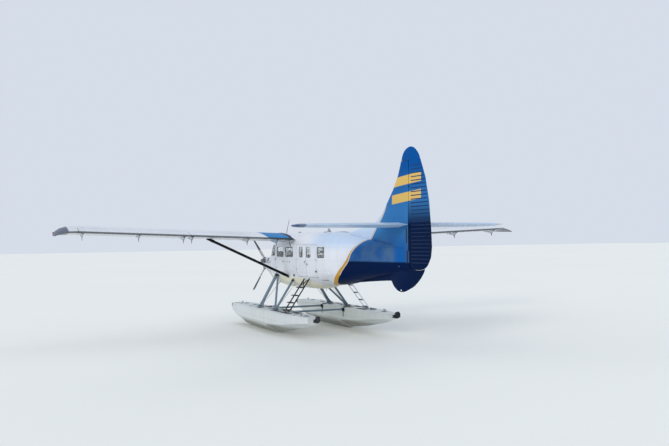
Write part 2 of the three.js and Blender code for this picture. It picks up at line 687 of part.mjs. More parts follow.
// Fin with its long dorsal root, rudder behind it and ventral fin below, each lofted through level sections
const FIN_ROWS = [
  // height, nose x, half thickness
  [2900, 3400, 88],
  [3300, 3950, 88],
  [3470, 3920, 86],
  [3540, 3560, 85],
  [3590, 3120, 84],
  [3640, 2720, 83],
  [3764, 2137, 81],
  [3966, 1748, 78],
  [4204, 1480, 74],
  [4669, 1004, 66],
  [5053, 700, 57],
  [5300, 575, 49],
  [5447, 511, 44],
];
const RUDDER_ROWS = [
  // height, centre of the round nose, trailing edge x, half thickness
  [2372, -290, -410, 8],
  [2384, -190, -545, 22],
  [2408, -110, -655, 36],
  [2450, -40, -762, 50],
  [2515, 0, -850, 62],
  [2600, 0, -922, 71],
  [2728, 0, -1015, 76],
  [3000, 0, RUDDER_TE_X, 76],
  [3500, 0, -1045, 74],
  [4269, 0, -963, 64],
  [4909, 0, -799, 53],
  [5384, 0, -573, 42],
  [5475, 0, -525, 40],
];
const RUDDER_HORN_Z = 5465; // the rudder's balance reaches ahead of the hinge above this
const HORN_ROWS = [
  // height, nose x, trailing edge x, half thickness
  [RUDDER_HORN_Z, 500, -530, 40],
  [5560, 462, -478, 38],
  [5650, 405, -395, 34],
  [5730, 318, -295, 28],
  [5785, 215, -195, 21],
  [FIN_TOP_Z, 60, -60, 8],
];
const VENTRAL_ROWS = [
  // height, nose x, trailing edge x, half thickness
  [1722, 690, 520, 8],
  [1738, 790, 410, 20],
  [1770, 890, 285, 32],
  [1830, 990, 115, 42],
  [1920, 1090, -120, 50],
  [2030, 1190, -315, 55],
  [2150, 1245, -480, 58],
  [2260, 1268, -595, 58],
  [2340, 1275, -660, 56],
  [2425, 1275, -712, 54],
];
// The room that the rudder's foot sweeps: distance from the hinge line and height
const FOOT_SWEEP = [[0, 2441], [74, 2394], [168, 2370], [282, 2358], [410, 2358], [545, 2370], [655, 2394],
  [762, 2436], [850, 2500], [1000, 2650], [0, 2650]];
// Strake: a plate along the keel line from the ventral fin forward, [x, z]
const STRAKE = [[3520, 1866], [2590, 1935], [1920, 1980], [1290, 2016], [1150, 2016], [1150, 2300],
  [3520, 2000]];
const STRAKE_HALF = 14;
// Sections as [share of the length from the nose, share of the half thickness]
const FIN_SECTION = [[0, 0], [0.01, 0.24], [0.04, 0.45], [0.1, 0.66], [0.22, 0.86], [0.45, 1],
  [0.75, 0.97], [1, 0.88]];
const LEAF_SECTION = [[0, 0], [0.015, 0.26], [0.05, 0.48], [0.13, 0.75], [0.28, 0.96], [0.45, 1],
  [0.7, 0.72], [1, 0.08]];
const FIN_FOOT_X = 30; // the fin's sections end here, before its cove is cut
const COVE_GAP = 14;
// Height and radius of the cove round the rudder's nose
const COVE = [[2200, 78 + COVE_GAP], [5470, 41 + COVE_GAP]];

function levelRing(section, z, noseX, endX, half) {
  const side = (sign) => section.slice(1)
    .map(([along, out]) => vec(noseX + (endX - noseX) * along, sign * half * out, z));
  return [vec(noseX, 0, z), ...side(1), ...side(-1).reverse()];
}

function rudderRing(z, noseX, endX, half) {
  const nose = arc(noseX, 0, half, Math.PI / 2, -Math.PI / 2, 8);
  const tail = [[0.35, 0.82], [0.7, 0.46], [1, 0.06]];
  const side = (sign) => tail.map(([along, out]) => [noseX + (endX - noseX) * along, sign * half * out]);
  return [...nose, ...side(-1), ...side(1).reverse()].map(([x, y]) => vec(x, y, z));
}

const circleAt = (z, radius) => arc(0, 0, radius, 0, Math.PI * 2 * (23 / 24), 23)
  .map(([x, y]) => vec(x, y, z));
const cove = loft(COVE.map(([z, radius]) => circleAt(z, radius)));
const RUDDER_BRACKET_ZS = [2750, 3300, 4700];
const finBracket = (z) => cut(
  plateXY([[140, -36], [140, 36], ...arc(0, 0, 30, Math.PI / 2, Math.PI * 1.5, 6)], z - 8, z + 8),
  rod(vec(0, 0, z - 20), vec(0, 0, z + 20), HOLE_R),
);
const rudderSlot = (z) => box(-46, 120, -110, 110, z - 20, z + 20);
const rudderPin = (z) => rod(vec(0, 0, z - 26), vec(0, 0, z + 26), PIN_R);
const rudderBlade = join(
  loft(RUDDER_ROWS.map((row) => rudderRing(...row))),
  loft(HORN_ROWS.map((row) => levelRing(LEAF_SECTION, ...row))),
);
const rudderSlotted = cut(rudderBlade, ...RUDDER_BRACKET_ZS.map(rudderSlot));
const rudder = join(rudderSlotted, ...RUDDER_BRACKET_ZS.map(rudderPin));
place("rudder", rudder, BLUE);

// Tailplane and elevator
const TAIL_TE_GAP = 14;
const tailRibs = [
  // y, nose x, trailing edge x, thickness
  [0, TAILPLANE_LE_X, ELEVATOR_TE_X, 150],
  [1600, TAILPLANE_LE_X - 90, ELEVATOR_TE_X, 135],
  [2800, TAILPLANE_LE_X - 170, ELEVATOR_TE_X, 115],
  [3040, TAILPLANE_LE_X - 230, ELEVATOR_TE_X + 20, 100],
  [3170, TAILPLANE_LE_X - 320, ELEVATOR_TE_X + 90, 76],
  [TAILPLANE_SPAN / 2, TAILPLANE_LE_X - 450, ELEVATOR_TE_X + 230, 40],
];
// The tailplane's full section, from its rounded nose to the elevator's edge
function tailRing(y, noseX, teX, thick) {
  const points = [[0, 0], [0.04, 0.55], [0.15, 0.9], [0.35, 1], [0.66, 0.9], [1, 0.08]];
  const half = thick / 2;
  const upper = points.map(([share, height]) => [noseX + (teX - noseX) * share, half * height]);
  const lower = points.slice(1).reverse()
    .map(([share, height]) => [noseX + (teX - noseX) * share, -half * height]);
  return [...upper, ...lower].map(([x, z]) => vec(x, y, TAILPLANE_Z + z));
}
const tailRings = [...tailRibs.slice(1).reverse().map(([y, ...rest]) => tailRing(-y, ...rest)),
  ...tailRibs.map((row) => tailRing(...row))];
const tailBody = loft(tailRings);
const ELEVATOR_NOSE_R = 60;
const ELEVATOR_ROOT_Y = 110;
const elevatorAft = box(-100, ELEVATOR_HINGE_X, -4000, 4000, TAILPLANE_Z - 200, TAILPLANE_Z + 200);
const onHinge = (y) => vec(ELEVATOR_HINGE_X, y, TAILPLANE_Z);
const elevatorNose = rod(onHinge(-2800), onHinge(2800), 50, 16);
const tailCutX = ELEVATOR_HINGE_X + ELEVATOR_NOSE_R + TAIL_TE_GAP;
const tailCut = box(-100, tailCutX, -4000, 4000, TAILPLANE_Z - 200, TAILPLANE_Z + 200);
const tailFore = cut(tailBody, tailCut);
const ELEVATOR_BRACKET_YS = [-2400, -1200, 1200, 2400];
const tailBracket = (y) => cut(
  plateXZ([[tailCutX + 20, TAILPLANE_Z - 30], [tailCutX + 20, TAILPLANE_Z + 30],
    ...arc(ELEVATOR_HINGE_X, TAILPLANE_Z, 28, Math.PI / 2, Math.PI * 1.5, 6)], y - 8, y + 8),
  rod(onHinge(y - 20), onHinge(y + 20), HOLE_R),
);
place("tailplane", join(tailFore, ...ELEVATOR_BRACKET_YS.map(tailBracket)), WHITE);
const elevatorSlot = (y) => box(ELEVATOR_HINGE_X - 46, ELEVATOR_HINGE_X + 80, y - 20, y + 20,
  TAILPLANE_Z - 100, TAILPLANE_Z + 100);
const elevatorPin = (y) => rod(onHinge(y - 26), onHinge(y + 26), PIN_R);
const elevatorRoot = box(-200, 700, -ELEVATOR_ROOT_Y, ELEVATOR_ROOT_Y,
  TAILPLANE_Z - 300, TAILPLANE_Z + 300);
const torqueTube = rod(onHinge(-200), onHinge(200), 26, 16);
const elevatorHalves = cut(join(tailBody.intersect(elevatorAft), elevatorNose),
  elevatorRoot, ...ELEVATOR_BRACKET_YS.map(elevatorSlot));
place("elevator", join(elevatorHalves, torqueTube, ...ELEVATOR_BRACKET_YS.map(elevatorPin)), WHITE);

const finBody = loft(FIN_ROWS.map(([z, noseX, half]) => levelRing(FIN_SECTION, z, noseX, FIN_FOOT_X, half)));
const tubeHole = rod(onHinge(-200), onHinge(200), 40, 16);
const finFoot = [outerBody, moved(outerBody, 0, 0, TOUCH)];
const tailRoom = [-TOUCH, TOUCH].map((shift) => moved(tailFore, 0, 0, shift));
const fin = cut(finBody, cove, ...finFoot, ...tailRoom, moved(tailFore, TOUCH, 0, 0), tubeHole);
place("fin", join(fin, ...RUDDER_BRACKET_ZS.filter((z) => z > 3060).map(finBracket)), BLUE);
place("rear_fuselage", join(cut(rearFuselage, cove), finBracket(RUDDER_BRACKET_ZS[0])), NAVY);

const ventralBody = loft(VENTRAL_ROWS.map((row) => levelRing(LEAF_SECTION, ...row)));
const sweepGeometry = new THREE.LatheGeometry(FOOT_SWEEP.map(([r, z]) => new THREE.Vector2(r, z)), 32);
const footSweep = solid(sweepGeometry.rotateX(Math.PI / 2));
const ventralRoof = box(90, 1400, -200, 200, 2345, 2500);
const ventralLeaf = cut(ventralBody, footSweep, ventralRoof);
const ventral = cut(join(ventralLeaf, plateXZ(STRAKE, -STRAKE_HALF, STRAKE_HALF)),
  outerBody, moved(outerBody, 0, 0, -TOUCH));
place("ventral_fin", ventral, NAVY);

// Floats: station, keel height, chine height, deck height, half width at the chine
const FLOAT_ROWS = [
  [FLOAT_STERN_X, 540, 610, DECK_Z - 20, 190],
  [4500, 400, 540, DECK_Z, 320],
  [5600, 215, 420, DECK_Z, 400],
  [STEP_X - 1, 70, 330, DECK_Z, FLOAT_HALF],
  [STEP_X, 0, 250, DECK_Z, FLOAT_HALF],
  [8200, 0, 260, DECK_Z, FLOAT_HALF],
  [9800, 0, 300, DECK_Z, FLOAT_HALF],
  [10700, 60, 400, DECK_Z, 400],
  [11400, 240, 540, DECK_Z - 20, 320],
  [11820, 450, 610, DECK_Z - 60, 205],
  [FLOAT_BOW_X, 610, 660, DECK_Z - 105, 80],
];
const DECK_ROUND = 40;
function floatRing([x, keel, chine, deck, half]) {
  const top = Math.max(deck - DECK_ROUND, chine + 20);
  const bilge = keel + (chine - keel) * 0.55;
  return [[0, keel], [half * 0.5, bilge], [half, chine], [half, top], [half * 0.86, deck],
    [-half * 0.86, deck], [-half, top], [-half, chine], [-half * 0.5, bilge]]
    .map(([y, z]) => vec(x, FLOAT_Y + y, z));
}
const WATER_RUDDER_X = FLOAT_STERN_X - 60;
const WATER_RUDDER_Z = 690;
const atStern = (dz) => vec(WATER_RUDDER_X, FLOAT_Y, WATER_RUDDER_Z + dz);
const sternLug = cut(
  box(WATER_RUDDER_X - 22, FLOAT_STERN_X + 30, FLOAT_Y - 30, FLOAT_Y + 30,
    WATER_RUDDER_Z - 20, WATER_RUDDER_Z + 20),
  rod(atStern(-40), atStern(40), 10),
);
const float = join(loft(FLOAT_ROWS.map(floatRing)), sternLug);
placePair("float", float, FLOAT_GREY);

// Water rudder: a yoke over the stern lug, its blade swung up behind
const YOKE = { inner: 27, outer: 44, half: 28 };
// A box of the yoke: its reach along X from the steering axis and its two heights from the lug's middle
const yokeBox = (x0, x1, z0, z1) => box(WATER_RUDDER_X + x0, WATER_RUDDER_X + x1,
  FLOAT_Y - YOKE.half, FLOAT_Y + YOKE.half, WATER_RUDDER_Z + z0, WATER_RUDDER_Z + z1);
const bladeOutline = [[-70, -44], [-70, 44], [-200, 160], [-380, 190], [-470, 140], [-480, 20], [-300, -50]];
const waterRudder = join(
  yokeBox(-90, 20, YOKE.inner, YOKE.outer),
  yokeBox(-90, 20, -YOKE.outer, -YOKE.inner),
  yokeBox(-90, -50, -YOKE.outer, YOKE.outer),
  rod(atStern(-35), atStern(35), PIN_R),
  plateXZ(bladeOutline.map(([dx, dz]) => [WATER_RUDDER_X + dx, WATER_RUDDER_Z + dz]),
    FLOAT_Y - 8, FLOAT_Y + 8),
);
placePair("water_rudder", waterRudder, DARK);

// Float struts: a front and a rear leg with a brace between them, joined at the ends they share
const FOOT_XS = [8870, 7240];
const LEGS = [
  { top: vec(8940, 700, 2030), foot: vec(FOOT_XS[0], FLOAT_Y, DECK_Z + 10), wide: 210, thick: 98 },
  { top: vec(7300, 690, 1860), foot: vec(FOOT_XS[1] - 40, FLOAT_Y, DECK_Z + 10), wide: 140, thick: 70 },
  { top: vec(8870, 700, 2030), foot: vec(FOOT_XS[1] + 40, FLOAT_Y, DECK_Z + 10), wide: 110, thick: 60 },
];
const legs = LEGS.map(({ top, foot, wide, thick }) => {
  const along = foot.clone().sub(top).normalize();
  const head = top.clone().addScaledVector(along, -150);
  return bar(head, foot.clone().addScaledVector(along, 60), wide, thick);
});
const fittings = FOOT_XS.map((x) => box(x - 130, x + 130, FLOAT_Y - 60, FLOAT_Y + 60,
  DECK_Z - 30, DECK_Z + 55));
const strutSet = cut(join(...legs, ...fittings), float, moved(float, 0, 0, TOUCH));
SIDES.forEach(([suffix, side]) => place(`float_struts_${suffix}`, offSkin(strutSet, side), FLOAT_GREY));

const SPREADERS = [["spreader_bar_front", 8620], ["spreader_bar_rear", 6700]];
const SPREADER_Z = 730;
SPREADERS.forEach(([name, x]) => {
  const reach = FLOAT_Y - FLOAT_HALF + 60;
  const bothFloats = [float, moved(float, 0, -TOUCH, 0)].flatMap((body) => [body, mirrored(body)]);
  const whole = rod(vec(x, -reach, SPREADER_Z), vec(x, reach, SPREADER_Z), 34, 16);
  place(name, cut(whole, ...bothFloats), FLOAT_GREY);
});

// Boarding ladders, leaning from the float's deck to the fuselage
const LADDER_FOOT = [1380, DECK_Z];
const LADDERS = [
  {
    name: "ladder_left", side: 1, x: 6210, lean: -230, half: 215, tread: 150, top: [725, 1900],
    rungs: [0.055, 0.277, 0.499, 0.745], material: DARK,
  },
  {
    name: "ladder_right", side: -1, x: 5470, lean: 0, half: 185, tread: 40, top: [590, 1850],
    rungs: [0.095, 0.33, 0.576, 0.83], material: FLOAT_GREY,
  },
];
const LADDER_RAIL = 38;
const LADDER_STEP = 24;
LADDERS.forEach(({ name, side, x, lean, half, tread, top, rungs, material }) => {
  const foot = [x, ...LADDER_FOOT];
  const head = [x + lean, ...top];
  const at = (share) => foot.map((low, i) => low + (head[i] - low) * share);
  const rails = [-half, half].map((dx) => {
    const [[xa, ya, za], [xb, yb, zb]] = [at(-0.08), at(1.14)];
    return bar(vec(xa + dx, ya, za), vec(xb + dx, yb, zb), LADDER_RAIL, LADDER_RAIL, 10);
  });
  const steps = rungs.map((share) => {
    const [middle, y, z] = at(share);
    const back = y - 20;
    return box(middle - half, middle + half, back, back + tread, z - LADDER_STEP / 2, z + LADDER_STEP / 2);
  });
  const ladder = cut(join(...rails, ...steps), float, moved(float, 0, 0, TOUCH));
  place(name, offSkin(ladder, side), material);
});

// Cabin fittings
const SEAT_WIDE = 430;
function seat(x, y, wide = SEAT_WIDE) {
  const half = wide / 2;
  const base = box(x - 200, x + 200, y - half + 110, y + half - 110, FLOOR_Z + TOUCH, FLOOR_Z + 300);
  const cushion = box(x - 230, x + 240, y - half, y + half, FLOOR_Z + 280, FLOOR_Z + 410);
  const back = plateXZ([[x - 190, FLOOR_Z + 300], [x - 330, FLOOR_Z + 1020], [x - 420, FLOOR_Z + 1020],
    [x - 300, FLOOR_Z + 300]], y - half, y + half);
  return join(base, cushion, back);
}
const PILOT_X = 8250;
const PILOT_Y = 340;
placePair("pilot_seat", seat(PILOT_X, PILOT_Y), SEAT);
// Passenger seats: x, y; they stand on two rails
const PASSENGERS = [[7350, 380], [7350, -380], [6500, -380], [4720, 345], [4720, -345]];
const rails = [-380, 380].map((y) => box(4450, 7580, y - 20, y + 20, FLOOR_Z + TOUCH, FLOOR_Z + 16));
const tie = box(4600, 4660, -380, 380, FLOOR_Z + TOUCH, FLOOR_Z + 16);
place("passenger_seats", join(...rails, tie, ...PASSENGERS.map(([x, y]) => seat(x, y))), SEAT);
const panelOutline = [[9480, 2330], [9400, 2760], [9560, 2800], [9700, 2720], [9700, 2330]];
const panel = plateXZ(panelOutline, -560, 560);
const panelStand = box(9560, FIREWALL_X - TOUCH, -120, 120, 2300, 2600);
place("instrument_panel", join(panel, panelStand).intersect(fuselageBody(WALL + 2)), DARK);

export default aircraft;
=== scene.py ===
"""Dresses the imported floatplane: paint, glass, trim, fittings, seats, wires and lamps round the CAD frame.

Metres in the row frame: X forward, Y to port, Z up from the float keels. U is measured forward from the
rudder's hinge line, as in the part's source, so X = U - MID.
"""
import math

import bmesh
import bpy
from mathutils import Matrix, Vector
from mathutils.bvhtree import BVHTree


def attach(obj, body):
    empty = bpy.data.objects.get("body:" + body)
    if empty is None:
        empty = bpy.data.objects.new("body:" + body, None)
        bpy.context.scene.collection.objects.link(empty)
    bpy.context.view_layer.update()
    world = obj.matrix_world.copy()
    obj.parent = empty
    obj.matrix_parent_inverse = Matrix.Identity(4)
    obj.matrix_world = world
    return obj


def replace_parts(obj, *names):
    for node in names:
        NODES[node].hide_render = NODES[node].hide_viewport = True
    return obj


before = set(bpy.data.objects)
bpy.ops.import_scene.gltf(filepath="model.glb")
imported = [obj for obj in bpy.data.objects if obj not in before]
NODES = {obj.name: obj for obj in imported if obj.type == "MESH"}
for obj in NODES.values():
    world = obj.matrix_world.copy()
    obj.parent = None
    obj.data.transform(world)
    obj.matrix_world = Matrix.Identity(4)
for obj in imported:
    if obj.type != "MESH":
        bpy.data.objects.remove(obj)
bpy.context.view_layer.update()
MID = 5.675
SIDES = (("left", 1), ("right", -1))
TAU = 2 * math.pi

# Camera: where the photograph was taken from
EYE = Vector((-24.314, 10.842, 3.199))
YAW, PITCH, ROLL = (math.radians(a) for a in (-24.477, 1.360, -0.815))
SENSOR_WIDE = 36.0
LENS = 41.315


def set_camera():
    ahead = Vector((math.cos(YAW) * math.cos(PITCH), math.sin(YAW) * math.cos(PITCH), math.sin(PITCH)))
    level_right = Vector((math.sin(YAW), -math.cos(YAW), 0))
    level_up = level_right.cross(ahead)
    right = level_right * math.cos(ROLL) + level_up * math.sin(ROLL)
    up = level_up * math.cos(ROLL) - level_right * math.sin(ROLL)
    camera = bpy.data.objects.new("camera", bpy.data.cameras.new("camera"))
    camera.matrix_world = Matrix.Translation(EYE) @ Matrix((right, up, -ahead)).transposed().to_4x4()
    camera.data.lens = LENS
    camera.data.sensor_width = SENSOR_WIDE
    camera.data.clip_end = 2000
    bpy.context.scene.collection.objects.link(camera)
    bpy.context.scene.camera = camera


set_camera()


# Materials
def rgb(red, green, blue):
    """A screen colour, 0 to 255, as the shader's linear one."""
    values = [c / 255 for c in (red, green, blue)]
    return tuple(c / 12.92 if c <= 0.04045 else ((c + 0.055) / 1.055) ** 2.4 for c in values) + (1.0,)


class Val:
    """A number socket that adds, multiplies and so on by making math nodes."""

    def __init__(self, net, socket):
        self.net = net
        self.socket = socket

    def __add__(self, other):
        return self.net.math("ADD", self, other)

    def __radd__(self, other):
        return self.net.math("ADD", other, self)

    def __sub__(self, other):
        return self.net.math("SUBTRACT", self, other)

    def __rsub__(self, other):
        return self.net.math("SUBTRACT", other, self)

    def __mul__(self, other):
        return self.net.math("MULTIPLY", self, other)

    def __rmul__(self, other):
        return self.net.math("MULTIPLY", other, self)

    def __abs__(self):
        return self.net.math("ABSOLUTE", self)


class Net:
    """One procedural material: the short calls make its nodes."""

    def __init__(self, name, **uniform):
        self.material = bpy.data.materials.new(name)
        self.material.use_nodes = True
        self.tree = self.material.node_tree
        self.shader = self.tree.nodes["Principled BSDF"]
        for socket, value in uniform.items():
            self.shader.inputs[socket.replace("_", " ")].default_value = value
        self.cache = {}

    def node(self, kind, **settings):
        made = self.tree.nodes.new(kind)
        for key, value in settings.items():
            setattr(made, key, value)
        return made

    def feed(self, socket, value):
        if isinstance(value, Val):
            self.tree.links.new(value.socket, socket)
        elif isinstance(value, bpy.types.NodeSocket):
            self.tree.links.new(value, socket)
        else:
            socket.default_value = value

    def math(self, operation, *values, clamp=False):
        made = self.node("ShaderNodeMath", operation=operation, use_clamp=clamp)
        for socket, value in zip(made.inputs, values):
            self.feed(socket, value)
        return Val(self, made.outputs[0])

    def coordinates(self, kind="Object"):
        if kind not in self.cache:
            source = self.node("ShaderNodeTexCoord").outputs[kind]
            split = self.node("ShaderNodeSeparateXYZ")
            self.tree.links.new(source, split.inputs[0])
            self.cache[kind] = [Val(self, out) for out in split.outputs]
            self.cache[kind + " vector"] = source
        return self.cache[kind]

    def vector(self, stretch=(1, 1, 1)):
        self.coordinates()
        mapping = self.node("ShaderNodeMapping")
        mapping.inputs["Scale"].default_value = stretch
        self.tree.links.new(self.cache["Object vector"], mapping.inputs["Vector"])
        return mapping.outputs[0]

    def noise(self, scale, detail=3.0, stretch=(1, 1, 1), roughness=0.5):
        made = self.node("ShaderNodeTexNoise")
        made.inputs["Scale"].default_value = scale
        made.inputs["Detail"].default_value = detail
        made.inputs["Roughness"].default_value = roughness
        self.tree.links.new(self.vector(stretch), made.inputs["Vector"])
        return Val(self, made.outputs[0])

    def above(self, value, edge, soft=0.01):
        """1 where value is above edge, 0 below it, over a band soft wide."""
        return self.math("MULTIPLY_ADD", value - edge, 1 / soft, 0.5, clamp=True)

    def below(self, value, edge, soft=0.01):
        return self.math("MULTIPLY_ADD", value - edge, -1 / soft, 0.5, clamp=True)

    def within(self, value, low, high, soft=0.01):
        return self.above(value, low, soft) * self.below(value, high, soft)

    def lines(self, value, spacing, width, offset=0.0):
        """1 on thin lines a spacing apart."""
        part = self.math("FRACT", (value + offset) * (1 / spacing))
        return self.above(abs(part - 0.5), 0.5 - width / spacing / 2, width / spacing / 2)

    def curve(self, value, rows):
        """Looks up a table of (value, result) rows, with a smooth line through them."""
        xs = [row[0] for row in rows]
        ys = [row[1] for row in rows]
        low, wide = min(ys), (max(ys) - min(ys)) or 1.0
        made = self.node("ShaderNodeFloatCurve")
        line = made.mapping.curves[0]
        while len(line.points) < len(rows):
            line.points.new(0.5, 0.5)
        for point, x, y in zip(line.points, xs, ys):
            point.location = ((x - xs[0]) / (xs[-1] - xs[0]), (y - low) / wide)
            point.handle_type = "AUTO_CLAMPED"
        made.mapping.update()
        self.feed(made.inputs["Value"], self.math("MULTIPLY_ADD", value, 1 / (xs[-1] - xs[0]),
                                                  -xs[0] / (xs[-1] - xs[0]), clamp=True))
        return self.math("MULTIPLY_ADD", Val(self, made.outputs[0]), wide, low)

    def mix(self, share, first, second):
        made = self.node("ShaderNodeMix", data_type="RGBA")
        self.feed(made.inputs[0], share)
        self.feed(made.inputs[6], first)
        self.feed(made.inputs[7], second)
        return made.outputs[2]

    def ramp(self, value, stops):
        made = self.node("ShaderNodeValToRGB")
        elements = made.color_ramp.elements
        while len(elements) < len(stops):
            elements.new(0.5)
        for element, (place, colour) in zip(elements, stops):
            element.position = place
            element.color = colour
        self.feed(made.inputs[0], value)
        return made.outputs[0]

    def colour(self, value):
        self.feed(self.shader.inputs["Base Color"], value)

    def roughness(self, value):
        self.feed(self.shader.inputs["Roughness"], value)

    def bump(self, height, depth):
        """Height in units of depth, which is in metres; several calls add up."""
        made = self.node("ShaderNodeBump")
        made.inputs["Strength"].default_value = 1.0
        made.inputs["Distance"].default_value = depth
        self.feed(made.inputs["Height"], height)
        if "bump" in self.cache:
            self.tree.links.new(self.cache["bump"], made.inputs["Normal"])
        self.cache["bump"] = made.outputs[0]
        self.tree.links.new(made.outputs[0], self.shader.inputs["Normal"])


WHITE = rgb(228, 230, 236)
WHITE_SHADE = rgb(218, 221, 229)
WHITE_AFT_SKY_SHADE = rgb(188, 207, 231)
CREAM_BOUNCE_LIGHT = rgb(248, 242, 218)
GOLD = rgb(200, 146, 22)
GOLD_PALE = rgb(222, 184, 104)
STRIPE_WHITE = rgb(232, 236, 244)
NAVY = rgb(2, 26, 66)
BLUE_DEEP = rgb(3, 26, 62)
BLUE = rgb(0, 80, 152)
BLUE_SKY_GLINT = rgb(72, 106, 146)
BLUE_POST = rgb(4, 92, 168)
BLUE_SKY_REFLECTION = rgb(54, 118, 176)
SEAM = rgb(120, 124, 132)

# Front edge of the gold band as U at a height, and the band's width along X
BAND_EDGE = [(1.65, 5.10), (1.738, 4.747), (1.802, 4.467), (1.903, 4.202), (2.014, 3.988), (2.149, 3.762),
             (2.26, 3.583), (2.366, 3.404), (2.464, 3.255), (2.588, 3.095), (2.80, 2.90),
             (3.00, 2.67), (3.073, 2.57), (3.132, 2.475), (3.221, 2.365), (3.37, 2.20), (3.565, 2.00),
             (3.755, 1.79), (3.966, 1.60), (4.145, 1.47), (4.23, 1.45), (4.30, 1.60), (4.45, 2.0)]
BAND_WIDTH = [(1.65, 0.22), (2.15, 0.205), (2.37, 0.180), (2.55, 0.16), (2.65, 0.12), (3.05, 0.06),
              (3.3, 0.045), (4.45, 0.045)]
BAND_LINE = 0.022
BAND_LINE_LOW = 2.10
# Height along U of the edge of the belly's cream, a painted warm light reflected up from below
BELLY_EDGE = [(4.90, 1.60), (5.234, 1.709), (5.349, 1.767), (5.566, 1.805), (5.793, 1.850), (6.143, 1.900),
              (6.58, 1.926), (7.539, 1.937), (8.247, 1.949), (9.30, 1.97), (10.2, 2.00)]
TAIL_BANDS = [(4.30, 4.56), (4.78, 5.04)]
TAIL_BAND_U = (-0.60, 0.98)


def weathered(net, colour, dirt, amount=0.12):
    """Light grime in soft patches and streaks that run down."""
    patches = net.noise(0.9, 4.0)
    streaks = net.noise(6.0, 3.0, stretch=(1, 1, 0.12))
    share = net.above(patches * 0.6 + streaks * 0.4, 0.56, 0.22) * amount
    return net.mix(share, colour, dirt)


SEAM_DEEP = 0.0006
WAVE_DEEP = 0.0066
FILM_DEEP = 0.00006


def metal_skin(net, seams, rough, scale, vary):
    """Gloss in patches, seams pressed in, slightly wavy metal and an orange-peel paint film."""
    net.roughness(rough + net.noise(scale, 4.0) * vary)
    net.bump(seams, -SEAM_DEEP)
    net.bump(net.noise(2.2, 2.0), WAVE_DEEP)
    net.bump(net.noise(190.0, 2.0), FILM_DEEP)


def blue_zone(net, u, z):
    """The blue of the tail end: navy below, brighter above, darker on the rudder's foot; its grey-blue
    patches and the light blue band up the fin are painted reflections of the sky.
    """
    # Painted reflection: grey-blue patches of reflected sky.
    sky_glints = net.mix(net.above(net.noise(1.7, 3.0), 0.52, 0.35), BLUE_SKY_GLINT, BLUE)
    middle = net.mix(net.within(u, 0.22, 0.75, 0.16) * 0.8, sky_glints, BLUE_POST)
    low = net.mix(net.above(z, 2.575, 0.05), NAVY, middle)
    # Painted reflection: a light blue band up the fin for the sky's reflection.
    high = net.mix(net.above(z, 3.20, 0.5), low, BLUE_SKY_REFLECTION)
    top = net.mix(net.above(z, 4.7, 1.2), high, BLUE)
    foot = net.below(u, 0.06, 0.04) * net.below(z, 4.0, 0.7)
    return net.mix(foot, top, BLUE_DEEP)


def livery(name, **uniform):
    net = Net(name, Coat_Roughness=0.06, **uniform)
    x, _, z = net.coordinates()
    u = x + MID
    tone = net.mix(net.noise(0.7, 3.0), WHITE, WHITE_SHADE)
    # Painted shade: the upper rear fuselage turns a bluish grey, which stands for shade and the sky's
    # reflection there.
    tone = net.mix(net.above(z, 3.00, 0.30) * net.below(u, 5.3, 1.2), tone, WHITE_AFT_SKY_SHADE)
    # Painted light: the belly is tinted cream for warm light reflected up from below.
    hull = net.mix(net.below(z - net.curve(u, BELLY_EDGE), 0.0, 0.05) * net.above(u, 4.95), tone, CREAM_BOUNCE_LIGHT)
    frames = net.lines(u, 0.508, 0.006) * net.within(u, 0.3, 9.7) * net.below(z, 3.42)
    stringers = net.lines(z, 0.43, 0.005, 0.02) * net.within(u, 0.3, 9.7)
    seams = net.math("MAXIMUM", frames, stringers)
    hull = net.mix(seams * 0.32, hull, SEAM)
    aft = net.curve(z, BAND_EDGE) - u
    width = net.curve(z, BAND_WIDTH)
    colour = net.mix(net.above(aft, 0.0), hull, GOLD)
    colour = net.mix(net.above(aft, width) * net.above(z, BAND_LINE_LOW), colour, STRIPE_WHITE)
    deep = net.mix(seams * 0.35, blue_zone(net, u, z), rgb(2, 8, 30))
    blue = net.above(aft, width + BAND_LINE * net.above(z, BAND_LINE_LOW))
    colour = net.mix(blue, colour, deep)
    for low, high in TAIL_BANDS:
        slant = z + u * 0.06
        band = net.within(slant, low, high) * net.within(u, *TAIL_BAND_U)
        colour = net.mix(band, colour, GOLD_PALE)
    net.colour(net.mix(blue, weathered(net, colour, rgb(120, 112, 96), 0.10), colour))
    gloss = 1.0 - blue * 0.95
    net.feed(net.shader.inputs["Coat Weight"], gloss * 0.22)
    net.feed(net.shader.inputs["Specular IOR Level"], gloss * 0.3)
    metal_skin(net, seams, 0.26, 5.0, 0.16)
    return net.material


